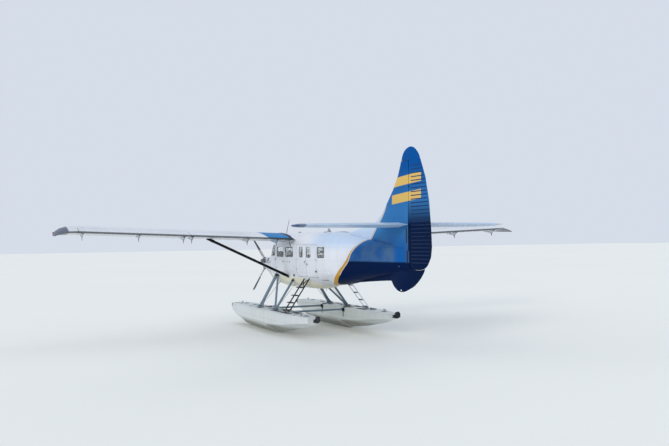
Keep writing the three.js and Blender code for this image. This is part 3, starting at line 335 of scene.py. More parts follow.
def wing_paint():
    net = Net("wing_paint", Coat_Roughness=0.06)
    x, y, _ = net.coordinates()
    u = x + MID
    out = abs(y)
    up = net.above(net.coordinates("Normal")[2], 0.0, 0.1)
    tone = net.mix(net.noise(0.8, 3.0), WHITE, WHITE_SHADE)
    ribs = net.lines(out, 0.36, 0.006)
    spans = net.lines(u, 0.33, 0.007, 0.1)
    seams = net.math("MAXIMUM", ribs, spans)
    colour = net.mix(seams * 0.35, tone, SEAM)
    panel = up * net.below(out - (u - 6.89) * 0.075, 1.72)
    colour = net.mix(panel, colour, rgb(24, 124, 188))
    colour = net.mix(net.above(out, 8.42), colour, rgb(6, 30, 78))
    # Painted shade: a dark band along the trailing edges, wider underneath, stands for the shade there.
    edge = 7.14 - up * 0.09
    colour = net.mix(net.below(u - edge, 0.0, 0.01), colour, rgb(24, 42, 46))
    colour = net.mix(net.below(out, 0.905, 0.004) * net.below(u, 8.2, 0.02), colour, rgb(10, 22, 48))
    net.colour(weathered(net, colour, rgb(110, 108, 100), 0.14))
    gloss = 1.0 - panel * 0.9
    net.feed(net.shader.inputs["Coat Weight"], gloss * 0.2)
    net.feed(net.shader.inputs["Specular IOR Level"], gloss * 0.3)
    metal_skin(net, seams, 0.3, 6.0, 0.16)
    return net.material


# Where the cabin lining turns from dark to pale
LINING_EDGE = 2.81

# The propeller's axis height, and how far out its blades are dark
HUB_Z = 2.320
DARK_BLADE = 0.66

# The tailplane's blue tip: its edge's distance out, and how that slants along X
TIP_EDGE = 1.78
TIP_SLANT = 0.24


def rib_paint():
    """The rudder's ribs: a painted highlight low down, where they catch the light and are lighter than the
    navy skin, and painted shade against the bands, where they show dark.
    """
    net = Net("rib_paint", Specular_IOR_Level=0.12)
    _, _, z = net.coordinates()
    tone = net.mix(net.noise(5.0, 4.0), rgb(8, 30, 68), rgb(14, 38, 78))
    net.colour(net.mix(net.above(z, 4.0, 0.7), tone, rgb(4, 46, 100)))
    net.roughness(0.3 + net.noise(20.0, 4.0) * 0.2)
    net.bump(net.noise(140.0, 2.0), 0.00008)
    return net.material


def tailplane_paint():
    net = Net("tailplane_paint", Coat_Weight=0.2, Coat_Roughness=0.06, Specular_IOR_Level=0.3)
    x, y, _ = net.coordinates()
    out = abs(y)
    # Painted shade: the tailplane's white is given as a pale blue-grey, which stands for shade and the sky's
    # reflection on it.
    tone = net.mix(net.noise(0.9, 3.0), rgb(172, 198, 226), rgb(188, 210, 234))
    seams = net.math("MAXIMUM", net.lines(out, 0.30, 0.006), net.lines(x, 0.31, 0.006))
    colour = net.mix(seams * 0.35, tone, SEAM)
    colour = net.mix(net.above(out + x * TIP_SLANT, TIP_EDGE), colour, rgb(6, 62, 120))
    net.colour(weathered(net, colour, rgb(120, 120, 116), 0.12))
    metal_skin(net, seams, 0.28, 6.0, 0.15)
    return net.material


def float_paint():
    net = Net("float_paint", Metallic=0.15)
    x, _, z = net.coordinates()
    tone = net.mix(net.noise(1.3, 4.0), rgb(218, 222, 222), rgb(200, 206, 206))
    frames = net.lines(x, 0.42, 0.007)
    seams = net.math("MAXIMUM", frames, net.lines(z, 0.29, 0.006, 0.06))
    colour = net.mix(seams * 0.4, tone, rgb(96, 102, 108))
    stain = net.below(z, 0.34, 0.12) * (0.35 + net.noise(5.0, 5.0, stretch=(1, 1, 0.3)) * 0.4)
    colour = net.mix(stain, colour, rgb(104, 104, 88))
    scuff = net.above(net.noise(26.0, 5.0, stretch=(0.3, 1, 1)), 0.66, 0.05) * 0.4
    colour = net.mix(scuff, colour, rgb(220, 224, 226))
    net.colour(colour)
    net.roughness(0.36 + net.noise(9.0, 5.0) * 0.26)
    net.bump(seams, -0.0008)
    net.bump(net.noise(3.0, 2.0), 0.009)
    net.bump(net.noise(120.0, 3.0), 0.0001)
    return net.material


def plain(name, first, second, scale=8.0, rough=(0.35, 0.5), grain=0.0001, stretch=(1, 1, 1), **uniform):
    """A painted, plated or moulded surface: two tones in patches, wear in its gloss, and a fine grain."""
    net = Net(name, **uniform)
    net.colour(net.mix(net.noise(scale, 5.0, stretch), first, second))
    net.roughness(rough[0] + net.noise(scale * 3, 4.0, stretch) * (rough[1] - rough[0]))
    net.bump(net.noise(scale * 40, 2.0, stretch), grain)
    return net.material


def chipped(name, first, second, bare, edge=0.70, **uniform):
    """Paint with small chips down to what lies under it."""
    net = Net(name, **uniform)
    chips = net.above(net.noise(34.0, 6.0), edge, 0.03)
    net.colour(net.mix(chips, net.mix(net.noise(3.0, 4.0), first, second), bare))
    net.roughness(0.3 + net.noise(20.0, 4.0) * 0.3)
    net.bump(chips, -0.0002)
    net.bump(net.noise(140.0, 2.0), 0.00008)
    return net.material


def blade_finish():
    """Blades: bare grey by the hub, dark paint further out."""
    net = Net("blade_finish", Coat_Weight=0.12, Specular_IOR_Level=0.35)
    _, y, z = net.coordinates()
    reach = net.math("SQRT", net.math("POWER", y, 2.0) + net.math("POWER", z - HUB_Z, 2.0))
    bare = net.mix(net.noise(6.0, 4.0), rgb(150, 152, 152), rgb(172, 174, 172))
    dark = net.mix(net.noise(3.0, 4.0), rgb(6, 10, 20), rgb(14, 18, 28))
    chips = net.above(net.noise(34.0, 6.0), 0.76, 0.03)
    net.colour(net.mix(chips, net.mix(net.above(reach, DARK_BLADE), bare, dark), rgb(90, 94, 100)))
    net.roughness(0.3 + net.noise(20.0, 4.0) * 0.3)
    net.bump(net.noise(140.0, 2.0), 0.00008)
    return net.material


def exhaust_metal():
    net = Net("exhaust_metal", Metallic=0.9)
    heat = net.noise(5.0, 5.0)
    net.colour(net.ramp(heat, [(0.3, rgb(60, 52, 46)), (0.5, rgb(112, 92, 70)), (0.62, rgb(84, 84, 104)),
                               (0.75, rgb(48, 44, 42))]))
    net.roughness(0.38 + net.noise(24.0, 5.0) * 0.35)
    net.bump(net.noise(60.0, 4.0), 0.0005)
    return net.material


def brushed(name, first, second, around=False, **uniform):
    net = Net(name, Metallic=1.0, **uniform)
    stretch = (1, 1, 30) if around else (1, 30, 30)
    net.colour(net.mix(net.noise(5.0, 4.0), first, second))
    net.roughness(0.2 + net.noise(30.0, 3.0, stretch=stretch) * 0.2)
    net.bump(net.noise(40.0, 3.0, stretch=stretch), 0.00008)
    return net.material


def glass(name, tint):
    net = Net(name, Transmission_Weight=1.0, IOR=1.25, Coat_Weight=0.04, Coat_Roughness=0.02, Alpha=0.35)
    net.colour(net.mix(net.above(net.noise(3.0, 5.0), 0.58, 0.3) * 0.15, tint, rgb(205, 214, 220)))
    net.roughness(0.015 + net.above(net.noise(40.0, 6.0), 0.62, 0.1) * 0.05)
    net.bump(net.noise(1.6, 2.0), 0.0012)
    return net.material


def cloth(name, first, second, weave=0.0022):
    """A woven cover: warp and weft by turns, with a fuzz and faded patches."""
    net = Net(name, Sheen_Weight=0.35, Sheen_Roughness=0.5)
    x, y, z = net.coordinates()
    warp = net.math("SINE", (x + z) * (TAU / weave))
    weft = net.math("SINE", (y + z * 0.5) * (TAU / weave))
    thread = warp * weft
    tone = net.mix(net.noise(7.0, 5.0), first, second)
    net.colour(net.mix(net.above(thread, 0.0, 1.6) * 0.35, tone, rgb(30, 34, 40)))
    net.roughness(0.78 + net.noise(30.0, 4.0) * 0.18)
    net.bump(thread, 0.0003)
    net.bump(net.noise(30.0, 5.0), 0.0012)
    return net.material


def lining():
    """The cabin's walls: dark green up to the windows' middle, pale above; the pale is lightened as painted
    light, which stands for the daylight that comes in through the far windows.
    """
    net = Net("lining", Sheen_Weight=0.2)
    _, _, z = net.coordinates()
    pale = net.mix(net.noise(10.0, 5.0), rgb(222, 225, 222), rgb(206, 209, 207))
    dark = net.mix(net.noise(14.0, 5.0), rgb(26, 50, 46), rgb(36, 62, 56))
    net.colour(net.mix(net.above(z, LINING_EDGE), dark, pale))
    net.roughness(0.7 + net.noise(30.0, 4.0) * 0.15)
    net.bump(net.noise(400.0, 2.0), 0.0005)
    return net.material


def leather(name, first, second):
    net = Net(name, Coat_Weight=0.12)
    cells = net.node("ShaderNodeTexVoronoi", feature="DISTANCE_TO_EDGE")
    cells.inputs["Scale"].default_value = 420.0
    net.tree.links.new(net.vector(), cells.inputs["Vector"])
    grain = Val(net, cells.outputs["Distance"])
    net.colour(net.mix(net.noise(9.0, 5.0), first, second))
    net.roughness(0.42 + net.noise(30.0, 4.0) * 0.2)
    net.bump(grain, 0.0006)
    net.bump(net.noise(14.0, 4.0), 0.0015)
    return net.material


AIRFRAME = livery("airframe_paint")
WING = wing_paint()
TAILPLANE = tailplane_paint()
RIB_PAINT = rib_paint()
FLOAT = float_paint()
STRUT_BLACK = chipped("strut_black_paint", rgb(4, 6, 10), rgb(9, 11, 16), rgb(46, 50, 56), 0.74,
                      Specular_IOR_Level=0.12)
# Painted shade: the gear's light grey paint is given as a darker blue-grey, for shade and a painted
# reflection of water; the float hatches, cuffs and strut plates share it.
GEAR = chipped("gear_paint", rgb(108, 130, 144), rgb(90, 112, 128), rgb(170, 180, 186), 0.70,
               Coat_Weight=0.15, Specular_IOR_Level=0.35)
DARK_PAINT = chipped("dark_paint", rgb(20, 24, 32), rgb(12, 16, 22), rgb(90, 94, 100), 0.73,
                     Specular_IOR_Level=0.2)
SPINNER_METAL = brushed("spinner_metal", rgb(176, 180, 186), rgb(140, 146, 154), around=True)
STEEL = brushed("steel", rgb(150, 154, 160), rgb(112, 116, 122))
ENGINE_METAL = plain("engine_casting", rgb(92, 94, 96), rgb(60, 60, 62), 12.0, (0.4, 0.65), 0.0006,
                     Metallic=0.8)
EXHAUST = exhaust_metal()
GLASS = glass("cabin_glass", rgb(226, 236, 234))
RUBBER = plain("black_rubber", rgb(26, 27, 29), rgb(38, 39, 41), 14.0, (0.6, 0.8), 0.0003)
PLASTIC = plain("black_plastic", rgb(30, 31, 34), rgb(42, 43, 46), 20.0, (0.45, 0.62), 0.0003)
NON_SKID = plain("non_skid", rgb(52, 56, 60), rgb(72, 76, 80), 30.0, (0.8, 0.95), 0.0016)
LINING_CLOTH = lining()
CARPET = plain("carpet", rgb(58, 62, 70), rgb(42, 46, 54), 60.0, (0.88, 0.96), 0.002, Sheen_Weight=0.3)
SEAT_CLOTH = cloth("seat_weave", rgb(22, 58, 50), rgb(15, 42, 38))
SEAT_LEATHER = leather("seat_leather", rgb(30, 31, 34), rgb(44, 45, 48))
SEAT_FRAME = plain("seat_frame_paint", rgb(84, 88, 94), rgb(68, 72, 78), 14.0, (0.4, 0.6), 0.0002)
DIAL_FACE = plain("dial_face", rgb(14, 15, 17), rgb(26, 28, 32), 30.0, (0.08, 0.2), 0.0001)
WEBBING = cloth("belt_webbing", rgb(66, 68, 72), rgb(48, 50, 54), 0.0016)
SEALANT = plain("grey_sealant", rgb(74, 78, 84), rgb(92, 96, 102), 16.0, (0.5, 0.7), 0.0003)
DOOR_SEAL = plain("door_seal", rgb(140, 145, 154), rgb(158, 162, 170), 16.0, (0.5, 0.7), 0.0003)
GREY_PAINT = plain("grey_paint", rgb(132, 140, 144), rgb(150, 156, 160), 6.0, (0.4, 0.55), 0.0002)
TRIM_WHITE = plain("trim_paint", WHITE, WHITE_SHADE, 3.0, (0.28, 0.42), 0.0001, Coat_Weight=0.4)
TRIM_BLUE = plain("trim_blue", rgb(3, 20, 56), rgb(6, 28, 70), 3.0, (0.28, 0.42), 0.0001,
                  Specular_IOR_Level=0.2)
WIRE = plain("stainless_wire", rgb(180, 184, 188), rgb(140, 144, 150), 60.0, (0.25, 0.45), 0.0002,
             Metallic=1.0)
RED_GLASS = plain("red_lens", rgb(168, 20, 16), rgb(140, 12, 12), 20.0, (0.08, 0.16), Coat_Weight=0.8)
GREEN_GLASS = plain("green_lens", rgb(16, 130, 60), rgb(10, 108, 50), 20.0, (0.08, 0.16), Coat_Weight=0.8)
CLEAR_LAMP = plain("clear_lens", rgb(235, 238, 240), rgb(214, 220, 226), 20.0, (0.06, 0.14), Coat_Weight=0.9)


# Directions, places and outlines
AHEAD = Vector((1, 0, 0))
PORT = Vector((0, 1, 0))
UP = Vector((0, 0, 1))


def place(u, y, z):
    """A point at U, Y and Z."""
    return Vector((u - MID, y, z))


def share(a, b, count):
    """count + 1 evenly spaced numbers from a to b."""
    return [a + (b - a) * i / count for i in range(count + 1)]


def oval(centre, first, second, count):
    """Points round an ellipse whose half axes are first and second."""
    turns = [TAU * k / count for k in range(count)]
    return [centre + first * math.cos(turn) + second * math.sin(turn) for turn in turns]


def corners(a0, a1, b0, b1):
    """A rectangle's corners in order."""
    return [(a0, b0), (a1, b0), (a1, b1), (a0, b1)]


def between(here, there, count):
    """count + 1 places along a straight line."""
    (a0, b0), (a1, b1) = here[:2], there[:2]
    return [(a0 + (a1 - a0) * t, b0 + (b1 - b0) * t) for t in share(0, 1, count)]


def path(stops, counts):
    """Places along straight legs between stops, with the number of steps in each leg."""
    places = [stops[0]]
    for here, there, count in zip(stops, stops[1:], counts):
        places += between(here, there, count)[1:]
    return places


def filled(outline, step, least=1):
    """A closed outline with places added along its longer edges."""
    places = []
    for here, there in zip(outline, outline[1:] + outline[:1]):
        places += between(here, there, max(least, round(math.dist(here, there) / step)))[:-1]
    return places


def rounded(a0, a1, b0, b1, radius, step=0.2):
    """A rectangle's outline with round corners."""
    middles = [(a1 - radius, b1 - radius), (a0 + radius, b1 - radius), (a0 + radius, b0 + radius),
               (a1 - radius, b0 + radius)]
    line = []
    for quarter, (a, b) in enumerate(middles):
        turns = [math.pi / 2 * (quarter + k / 4) for k in range(5)]
        line += [(a + radius * math.cos(turn), b + radius * math.sin(turn)) for turn in turns]
    return filled(line, step)


def along_table(table, key):
    """Looks up (key, value) rows, with straight lines between them."""
    for (k0, v0), (k1, v1) in zip(table, table[1:]):
        if k0 <= key <= k1:
            return v0 + (v1 - v0) * (key - k0) / (k1 - k0)
    return table[-1][1]


# Shapes
class Shape:
    """Faces gathered for one piece."""

    def __init__(self):
        self.points = []
        self.faces = []

    def add(self, points, faces):
        base = len(self.points)
        self.points += [tuple(p) for p in points]
        self.faces += [tuple(base + i for i in face) for face in faces]

    def loft(self, rings, loop=False):
        """A closed skin through rings of points; loop joins the last ring to the first."""
        count = len(rings[0])
        total = len(rings)
        faces = []
        for r in range(total if loop else total - 1):
            near, far = r * count, ((r + 1) % total) * count
            for i in range(count):
                j = (i + 1) % count
                faces.append((near + i, near + j, far + j, far + i))
        if not loop:
            faces.append(tuple(reversed(range(count))))
            faces.append(tuple((total - 1) * count + i for i in range(count)))
        self.add([p for ring in rings for p in ring], faces)

    def tube(self, line, radius, sides=12, flat=1.0, loop=False):
        """A round or oval tube through points; radius is a number or one for each point."""
        line = [Vector(p) for p in line]
        rings = []
        normal = None
        for i, point in enumerate(line):
            ahead = run_of(line, i, loop)
            normal = ahead.orthogonal() if normal is None else normal - ahead * normal.dot(ahead)
            normal.normalize()
            size = radius[i] if isinstance(radius, (list, tuple)) else radius
            rings.append(oval(point, normal * size, ahead.cross(normal) * (size * flat), sides))
        self.loft(rings, loop=loop)

    def prism(self, outline, push):
        """A flat outline of points pushed along push."""
        count = len(outline)
        near = [Vector(p) for p in outline]
        far = [p + Vector(push) for p in near]
        faces = [tuple(reversed(range(count))), tuple(count + i for i in range(count))]
        faces += [(i, (i + 1) % count, count + (i + 1) % count, count + i) for i in range(count)]
        self.add(near + far, faces)

    def plate(self, origin, outline, push, first=AHEAD, second=PORT):
        """A prism whose outline is (a, b) steps from origin along two directions."""
        self.prism([origin + first * a + second * b for a, b in outline], push)

    def lathe(self, profile, origin, axis, sides=24):
        """Turns (along, radius) rows about an axis through origin."""
        axis = Vector(axis).normalized()
        first = axis.orthogonal().normalized()
        second = axis.cross(first)
        self.loft([oval(origin + axis * along, first * max(radius, 1e-5), second * max(radius, 1e-5), sides)
                   for along, radius in profile])

    def dome(self, point, normal, radius, height, sides=6):
        """A rivet or screw head standing on a surface."""
        self.lathe([(-height * 0.6, radius), (height * 0.45, radius * 0.86), (height, radius * 0.35)],
                   point, normal, sides)

    def bead(self, points, normals, width, height, loop=False, sink=0.002):
        """A low rounded strip along points on a surface."""
        section = [(-0.5, -sink), (-0.36, height * 0.75), (0.0, height), (0.36, height * 0.75), (0.5, -sink)]
        rings = []
        for i, (point, normal) in enumerate(zip(points, normals)):
            ahead = run_of(points, i, loop)
            out = (normal - ahead * normal.dot(ahead)).normalized()
            across = ahead.cross(out)
            rings.append([point + across * (width * a) + out * h for a, h in section])
        self.loft(rings, loop=loop)

    def piece(self, name, material, slot, body="airframe", sharp=38.0, bevel=0.0):
        """Makes the piece, rides it on its body and returns it; bevel rounds its sharp edges."""
        mesh = bpy.data.meshes.new(name)
        mesh.from_pydata(self.points, [], self.faces)
        net = bmesh.new()
        net.from_mesh(mesh)
        bmesh.ops.recalc_face_normals(net, faces=net.faces)
        net.to_mesh(mesh)
        net.free()
        made = new_object(name, mesh, material)
        if bevel:
            edge = made.modifiers.new("edges", "BEVEL")
            edge.width = bevel
            edge.segments = 2
            edge.limit_method = "ANGLE"
            edge.angle_limit = math.radians(sharp)
            made.modifiers.new("shading", "WEIGHTED_NORMAL")
        else:
            mesh.set_sharp_from_angle(angle=math.radians(sharp))
        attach(made, body)
        return made


def run_of(points, i, loop):
    """The direction in which a line of points runs at one of them."""
    last = len(points) - 1
    before = points[i - 1] if loop or i else points[0]
    after = points[(i + 1) % len(points)] if loop or i < last else points[last]
    return (after - before).normalized()


def finish(mesh, *materials):
    """Smooth shading, and the materials that a mesh wears."""
    mesh.polygons.foreach_set("use_smooth", [True] * len(mesh.polygons))
    mesh.materials.clear()
    for material in materials:
        mesh.materials.append(material)


def new_object(name, mesh, *materials):
    """A smooth-shaded object of a mesh, in the scene."""
    finish(mesh, *materials)
    made = bpy.data.objects.new(name, mesh)
    bpy.context.scene.collection.objects.link(made)
    return made


# CAD nodes: their faces are joined for smooth shading, and each gets its finish
SMOOTH_ANGLE = math.radians(34)
WELD_GAP = 0.00004


def dress(names, *materials):
    for name in names:
        node = NODES[name]
        mesh = node.data
        for extra in ("custom_normal", "sharp_face", "sharp_edge"):
            if extra in mesh.attributes:
                mesh.attributes.remove(mesh.attributes[extra])
        node.modifiers.new("weld", "WELD").merge_threshold = WELD_GAP
        node.modifiers.new("split", "EDGE_SPLIT").split_angle = SMOOTH_ANGLE
        node.modifiers.new("shading", "WEIGHTED_NORMAL")
        finish(mesh, *materials)


def both(*kinds):
    """The port and starboard names of each kind."""
    return [f"{kind}_{name}" for kind in kinds for name, _ in SIDES]


DOOR_NAMES = ["crew_door_left", "crew_door_right", "cabin_door_front", "cabin_door_rear", "cabin_door_right"]
SHELL = ["cabin_side_left", "cabin_side_right", "cabin_roof", "windscreen_frame", "cabin_floor", *DOOR_NAMES]
PANES = [f"{door}_glass" for door in DOOR_NAMES] + ["cabin_window_right"]
PANES += both("cockpit_window", "rear_window", "windscreen", "quarter_window")
dress(SHELL, AIRFRAME, LINING_CLOTH)
dress(["rear_fuselage", "fin", "rudder", "ventral_fin", "cowling"], AIRFRAME)
dress(both("wing", "flap", "aileron"), WING)
dress(["tailplane", "elevator"], TAILPLANE)
dress(both("float"), FLOAT)
dress(both("wing_strut"), STRUT_BLACK)
dress([*both("float_struts"), "spreader_bar_front", "spreader_bar_rear"], GEAR)
dress(["ladder_left", *both("water_rudder")], DARK_PAINT)
dress(["ladder_right"], TRIM_WHITE)
dress(["propeller"], blade_finish())
dress(["spinner"], SPINNER_METAL)
dress(["engine"], ENGINE_METAL, EXHAUST)
dress(["firewall"], STEEL)
dress(["instrument_panel"], PLASTIC)
dress(PANES, GLASS)

# Fuselage sections as in the part's source, for finding places on its skin
FUSELAGE = [
    # U, top, bottom, half width, squareness above and below the widest line
    (0.070, 3.010, 2.330, 0.048, 2.2, 2.2),
    (0.700, 3.080, 2.252, 0.150, 2.4, 2.2),
    (1.700, 3.180, 2.128, 0.340, 2.7, 2.3),
    (2.800, 3.300, 1.985, 0.545, 3.0, 2.5),
    (4.000, 3.440, 1.797, 0.715, 3.4, 2.7),
    (5.000, 3.510, 1.702, 0.785, 3.8, 2.9),
    (5.500, 3.520, 1.662, 0.793, 3.9, 2.9),
    (5.800, 3.527, 1.575, 0.798, 4.0, 3.0),
    (6.050, 3.530, 1.540, 0.800, 4.0, 3.0),
    (8.400, 3.530, 1.515, 0.800, 4.0, 3.0),
    (8.870, 3.440, 1.532, 0.790, 4.0, 2.9),
    (9.300, 3.300, 1.562, 0.768, 4.4, 2.8),
    (9.530, 3.060, 1.590, 0.738, 4.2, 2.7),
    (9.790, 2.790, 1.622, 0.690, 3.2, 2.6),
    (10.250, 2.730, 1.735, 0.605, 2.9, 2.5),
    (10.800, 2.670, 1.870, 0.500, 2.6, 2.4),
    (11.350, 2.615, 1.995, 0.385, 2.3, 2.2),
    (11.700, 2.590, 2.060, 0.315, 2.1, 2.1),
    (11.850, 2.565, 2.085, 0.270, 2.0, 2.0),
]
RING_POINTS = 32
WIDEST = 0.52


def squared(value, power):
    """A sine or cosine bent towards a square."""
    return math.copysign(abs(value) ** power, value)


def section_ring(u, top, bottom, half, upper, lower):
    widest = bottom + WIDEST * (top - bottom)
    ring = []
    for i in range(RING_POINTS):
        turn = TAU * (i + 0.5) / RING_POINTS
        c, s = math.cos(turn), math.sin(turn)
        power = 2 / (upper if s > 0 else lower)
        rise = top - widest if s > 0 else widest - bottom
        ring.append(place(u, half * squared(c, power), widest + rise * squared(s, power)))
    return ring


def mesh_tree(*meshes):
    shape = Shape()
    for mesh in meshes:
        shape.add([v.co for v in mesh.vertices], [tuple(p.vertices) for p in mesh.polygons])
    return BVHTree.FromPolygons(shape.points, shape.faces)


def node_tree(*names):
    return mesh_tree(*(NODES[name].data for name in names))


hull_shape = Shape()
hull_shape.loft([section_ring(*row) for row in FUSELAGE])
HULL = BVHTree.FromPolygons(hull_shape.points, hull_shape.faces)


def hit(tree, start, towards):
    """The first place that a ray from start meets, and the normal there, turned to face the start."""
    towards = Vector(towards)
    point, normal, _, _ = tree.ray_cast(Vector(start), towards)
    if point is None:
        raise ValueError(f"nothing lies ahead of {tuple(start)}")
    return point, (-normal if normal.dot(towards) > 0 else normal)


def line_on(tree, starts, towards):
    """Where rays from starts first meet a skin: the points, and the normals there."""
    found = [hit(tree, start, towards) for start in starts]
    return [point for point, _ in found], [normal for _, normal in found]


def on_side(u, z, side, tree=HULL):
    """A place on a skin, seen from port (1) or starboard (-1)."""
    return hit(tree, place(u, side * 3, z), (0, -side, 0))


def side_line(places, side, tree=HULL):
    """The same at each (U, Z) place."""
    return line_on(tree, [place(u, side * 3, z) for u, z in places], (0, -side, 0))


def on_face(tree, u, y, towards=-1):
    """A place on a skin, met on the way down (-1) or up (1)."""
    return hit(tree, place(u, y, 3 - 5 * towards), (0, 0, towards))


def face_line(tree, places, towards=-1):
    """The same at each (U, Y) place."""
    return line_on(tree, [place(u, y, 3 - 5 * towards) for u, y in places], (0, 0, towards))


def rivets(shape, line, spacing=0.045, radius=0.0042, height=0.0018):
    """Rivet heads evenly along a line of skin points."""
    points, normals = line
    left = spacing / 2
    for a, b, na, nb in zip(points, points[1:], normals, normals[1:]):
        length = (b - a).length
        while left <= length:
            t = left / length
            shape.dome(a.lerp(b, t), na.lerp(nb, t).normalized(), radius, height)
            left += spacing
        left -= length


# The cabin shell's inner faces take the lining, inside these limits
CABIN_MIDDLE_Z = 2.55
CABIN_NOSE_U = 9.76
CABIN_LOW, CABIN_HIGH = 1.88, 3.505
SKIN_DEEP = 0.02
FACING_IN = -0.35
EXHAUST_OUT = 0.30
for name in SHELL:
    for polygon in NODES[name].data.polygons:
        centre = Vector(polygon.center)
        skin, _, _, depth = HULL.find_nearest(centre)
        outwards = Vector((0, skin.y, skin.z - CABIN_MIDDLE_Z)).normalized()
        inside = (centre - skin).dot(outwards) < 0 and polygon.normal.dot(outwards) < FACING_IN
        in_cabin = centre.x + MID < CABIN_NOSE_U and CABIN_LOW < centre.z < CABIN_HIGH
        if inside and in_cabin and depth > SKIN_DEEP:
            polygon.material_index = 1
for polygon in NODES["engine"].data.polygons:
    if abs(polygon.center[1]) > EXHAUST_OUT:
        polygon.material_index = 1


# Floor and light
FLOOR_HALF = 300.0
FLOOR_TONES = rgb(246, 246, 240), rgb(241, 241, 236)
SKY = rgb(226, 234, 246)
SKY_STRENGTH = 0.88
LAMPS = [
    # name, direction that the light comes from, strength, softness, colour
    ("key", (-0.62, 0.70, 0.34), 0.95, 0.30, (1.0, 0.97, 0.90)),
    ("fill", (0.6, 0.9, 0.25), 0.3, 0.9, (0.96, 0.98, 1.0)),
    ("rim", (0.3, -0.9, 0.6), 0.3, 0.6, (1.0, 1.0, 1.0)),
]
# The lamp strip along the cabin's ceiling
STRIP_LONG, STRIP_WIDE = 3.5, 0.25
STRIP_POWER = 8.0
STRIP_MIDDLE = place(6.55, 0.0, 3.43)


def studio():
    mesh = bpy.data.meshes.new("floor")
    mesh.from_pydata([(a, b, 0) for a, b in corners(-FLOOR_HALF, FLOOR_HALF, -FLOOR_HALF, FLOOR_HALF)], [],
                     [(0, 1, 2, 3)])
    net = Net("floor_paper")
    net.colour(net.mix(net.noise(0.05, 3.0), *FLOOR_TONES))
    net.roughness(0.8 + net.noise(0.5, 3.0) * 0.1)
    new_object("floor", mesh, net.material)
    world = bpy.data.worlds.new("studio")
    bpy.context.scene.world = world
    world.use_nodes = True
    sky = world.node_tree.nodes["Background"]
    sky.inputs["Color"].default_value = SKY
    sky.inputs["Strength"].default_value = SKY_STRENGTH
    bpy.context.scene.view_settings.view_transform = "Standard"
    for name, towards, strength, soft, colour in LAMPS:
        lamp = bpy.data.lights.new(name, "SUN")
        lamp.energy = strength
        lamp.angle = soft
        lamp.color = colour
        made = bpy.data.objects.new(name, lamp)
        made.rotation_euler = Vector(towards).to_track_quat("Z", "Y").to_euler()
        bpy.context.scene.collection.objects.link(made)
    strip = bpy.data.lights.new("cabin_strip", "AREA")
    strip.shape = "RECTANGLE"
    strip.size = STRIP_LONG
    strip.size_y = STRIP_WIDE
    strip.energy = STRIP_POWER
    made = bpy.data.objects.new("cabin_strip", strip)
    made.location = STRIP_MIDDLE
    bpy.context.scene.collection.objects.link(made)


studio()

# Windows: side, U from and to; as the openings in the part's source
WINDOW_Z = (2.65, 3.02)
WINDOWS = [
    ("crew_door_left", 1, 8.010, 8.760),
    ("crew_door_right", -1, 8.010, 8.760),
    ("cabin_door_front", 1, 6.140, 6.480),
    ("cabin_door_rear", 1, 5.450, 5.820),
    ("cabin_door_right", -1, 5.450, 5.820),
    ("cockpit_left", 1, 7.060, 7.850),
    ("cockpit_right", -1, 7.060, 7.850),
    ("rear_left", 1, 4.410, 4.930),
    ("rear_right", -1, 4.410, 4.930),
    ("cabin_right", -1, 6.140, 6.480),
]
WINDOW_ROUND = 0.060
FRAME_WIDE = 0.026
FRAME_GROW = FRAME_WIDE / 2 + 0.002
GASKET_R = 0.006
GASKET_IN = 0.004


def window_trim():
    for name, side, u0, u1 in WINDOWS:
        body = f"{name}_body" if name in DOOR_NAMES else "airframe"
        z0, z1 = WINDOW_Z
        line = side_line(rounded(u0 - FRAME_GROW, u1 + FRAME_GROW, z0 - FRAME_GROW, z1 + FRAME_GROW,
                                 WINDOW_ROUND + FRAME_GROW, 0.04), side)
        ring = Shape()
        ring.bead(*line, FRAME_WIDE, 0.0035, loop=True)
        rivets(ring, line, 0.062, 0.0036, 0.0050)
        ring.piece(f"{name}_window_frame", TRIM_WHITE, "airframe_white", body)
        points, normals = side_line(rounded(u0 + GASKET_IN, u1 - GASKET_IN, z0 + GASKET_IN, z1 - GASKET_IN,
                                            WINDOW_ROUND, 0.04), side)
        gasket = Shape()
        gasket.tube([p - n * GASKET_R for p, n in zip(points, normals)], GASKET_R, 8, loop=True)
        gasket.piece(f"{name}_window_gasket", RUBBER, "panel_black", body)


window_trim()

# Doors: side, U from and to, sill, U and Z of the handle
DOORS = [
    ("crew_door_left", 1, 7.930, 8.900, 2.100, 8.08, 2.48),
    ("crew_door_right", -1, 7.930, 8.900, 2.100, 8.08, 2.48),
    ("cabin_door_front", 1, 5.880, 6.740, 1.990, 5.98, 2.50),
    ("cabin_door_rear", 1, 5.010, 5.870, 1.990, 5.76, 2.42),
    ("cabin_door_right", -1, 5.010, 5.870, 1.990, 5.12, 2.42),
]
DOOR_TOP = 3.080
EDGE_WIDE = 0.010
EDGE_GROW = 0.006 + EDGE_WIDE / 2
RIVET_INSET = 0.045
PANEL_TOP = 2.59


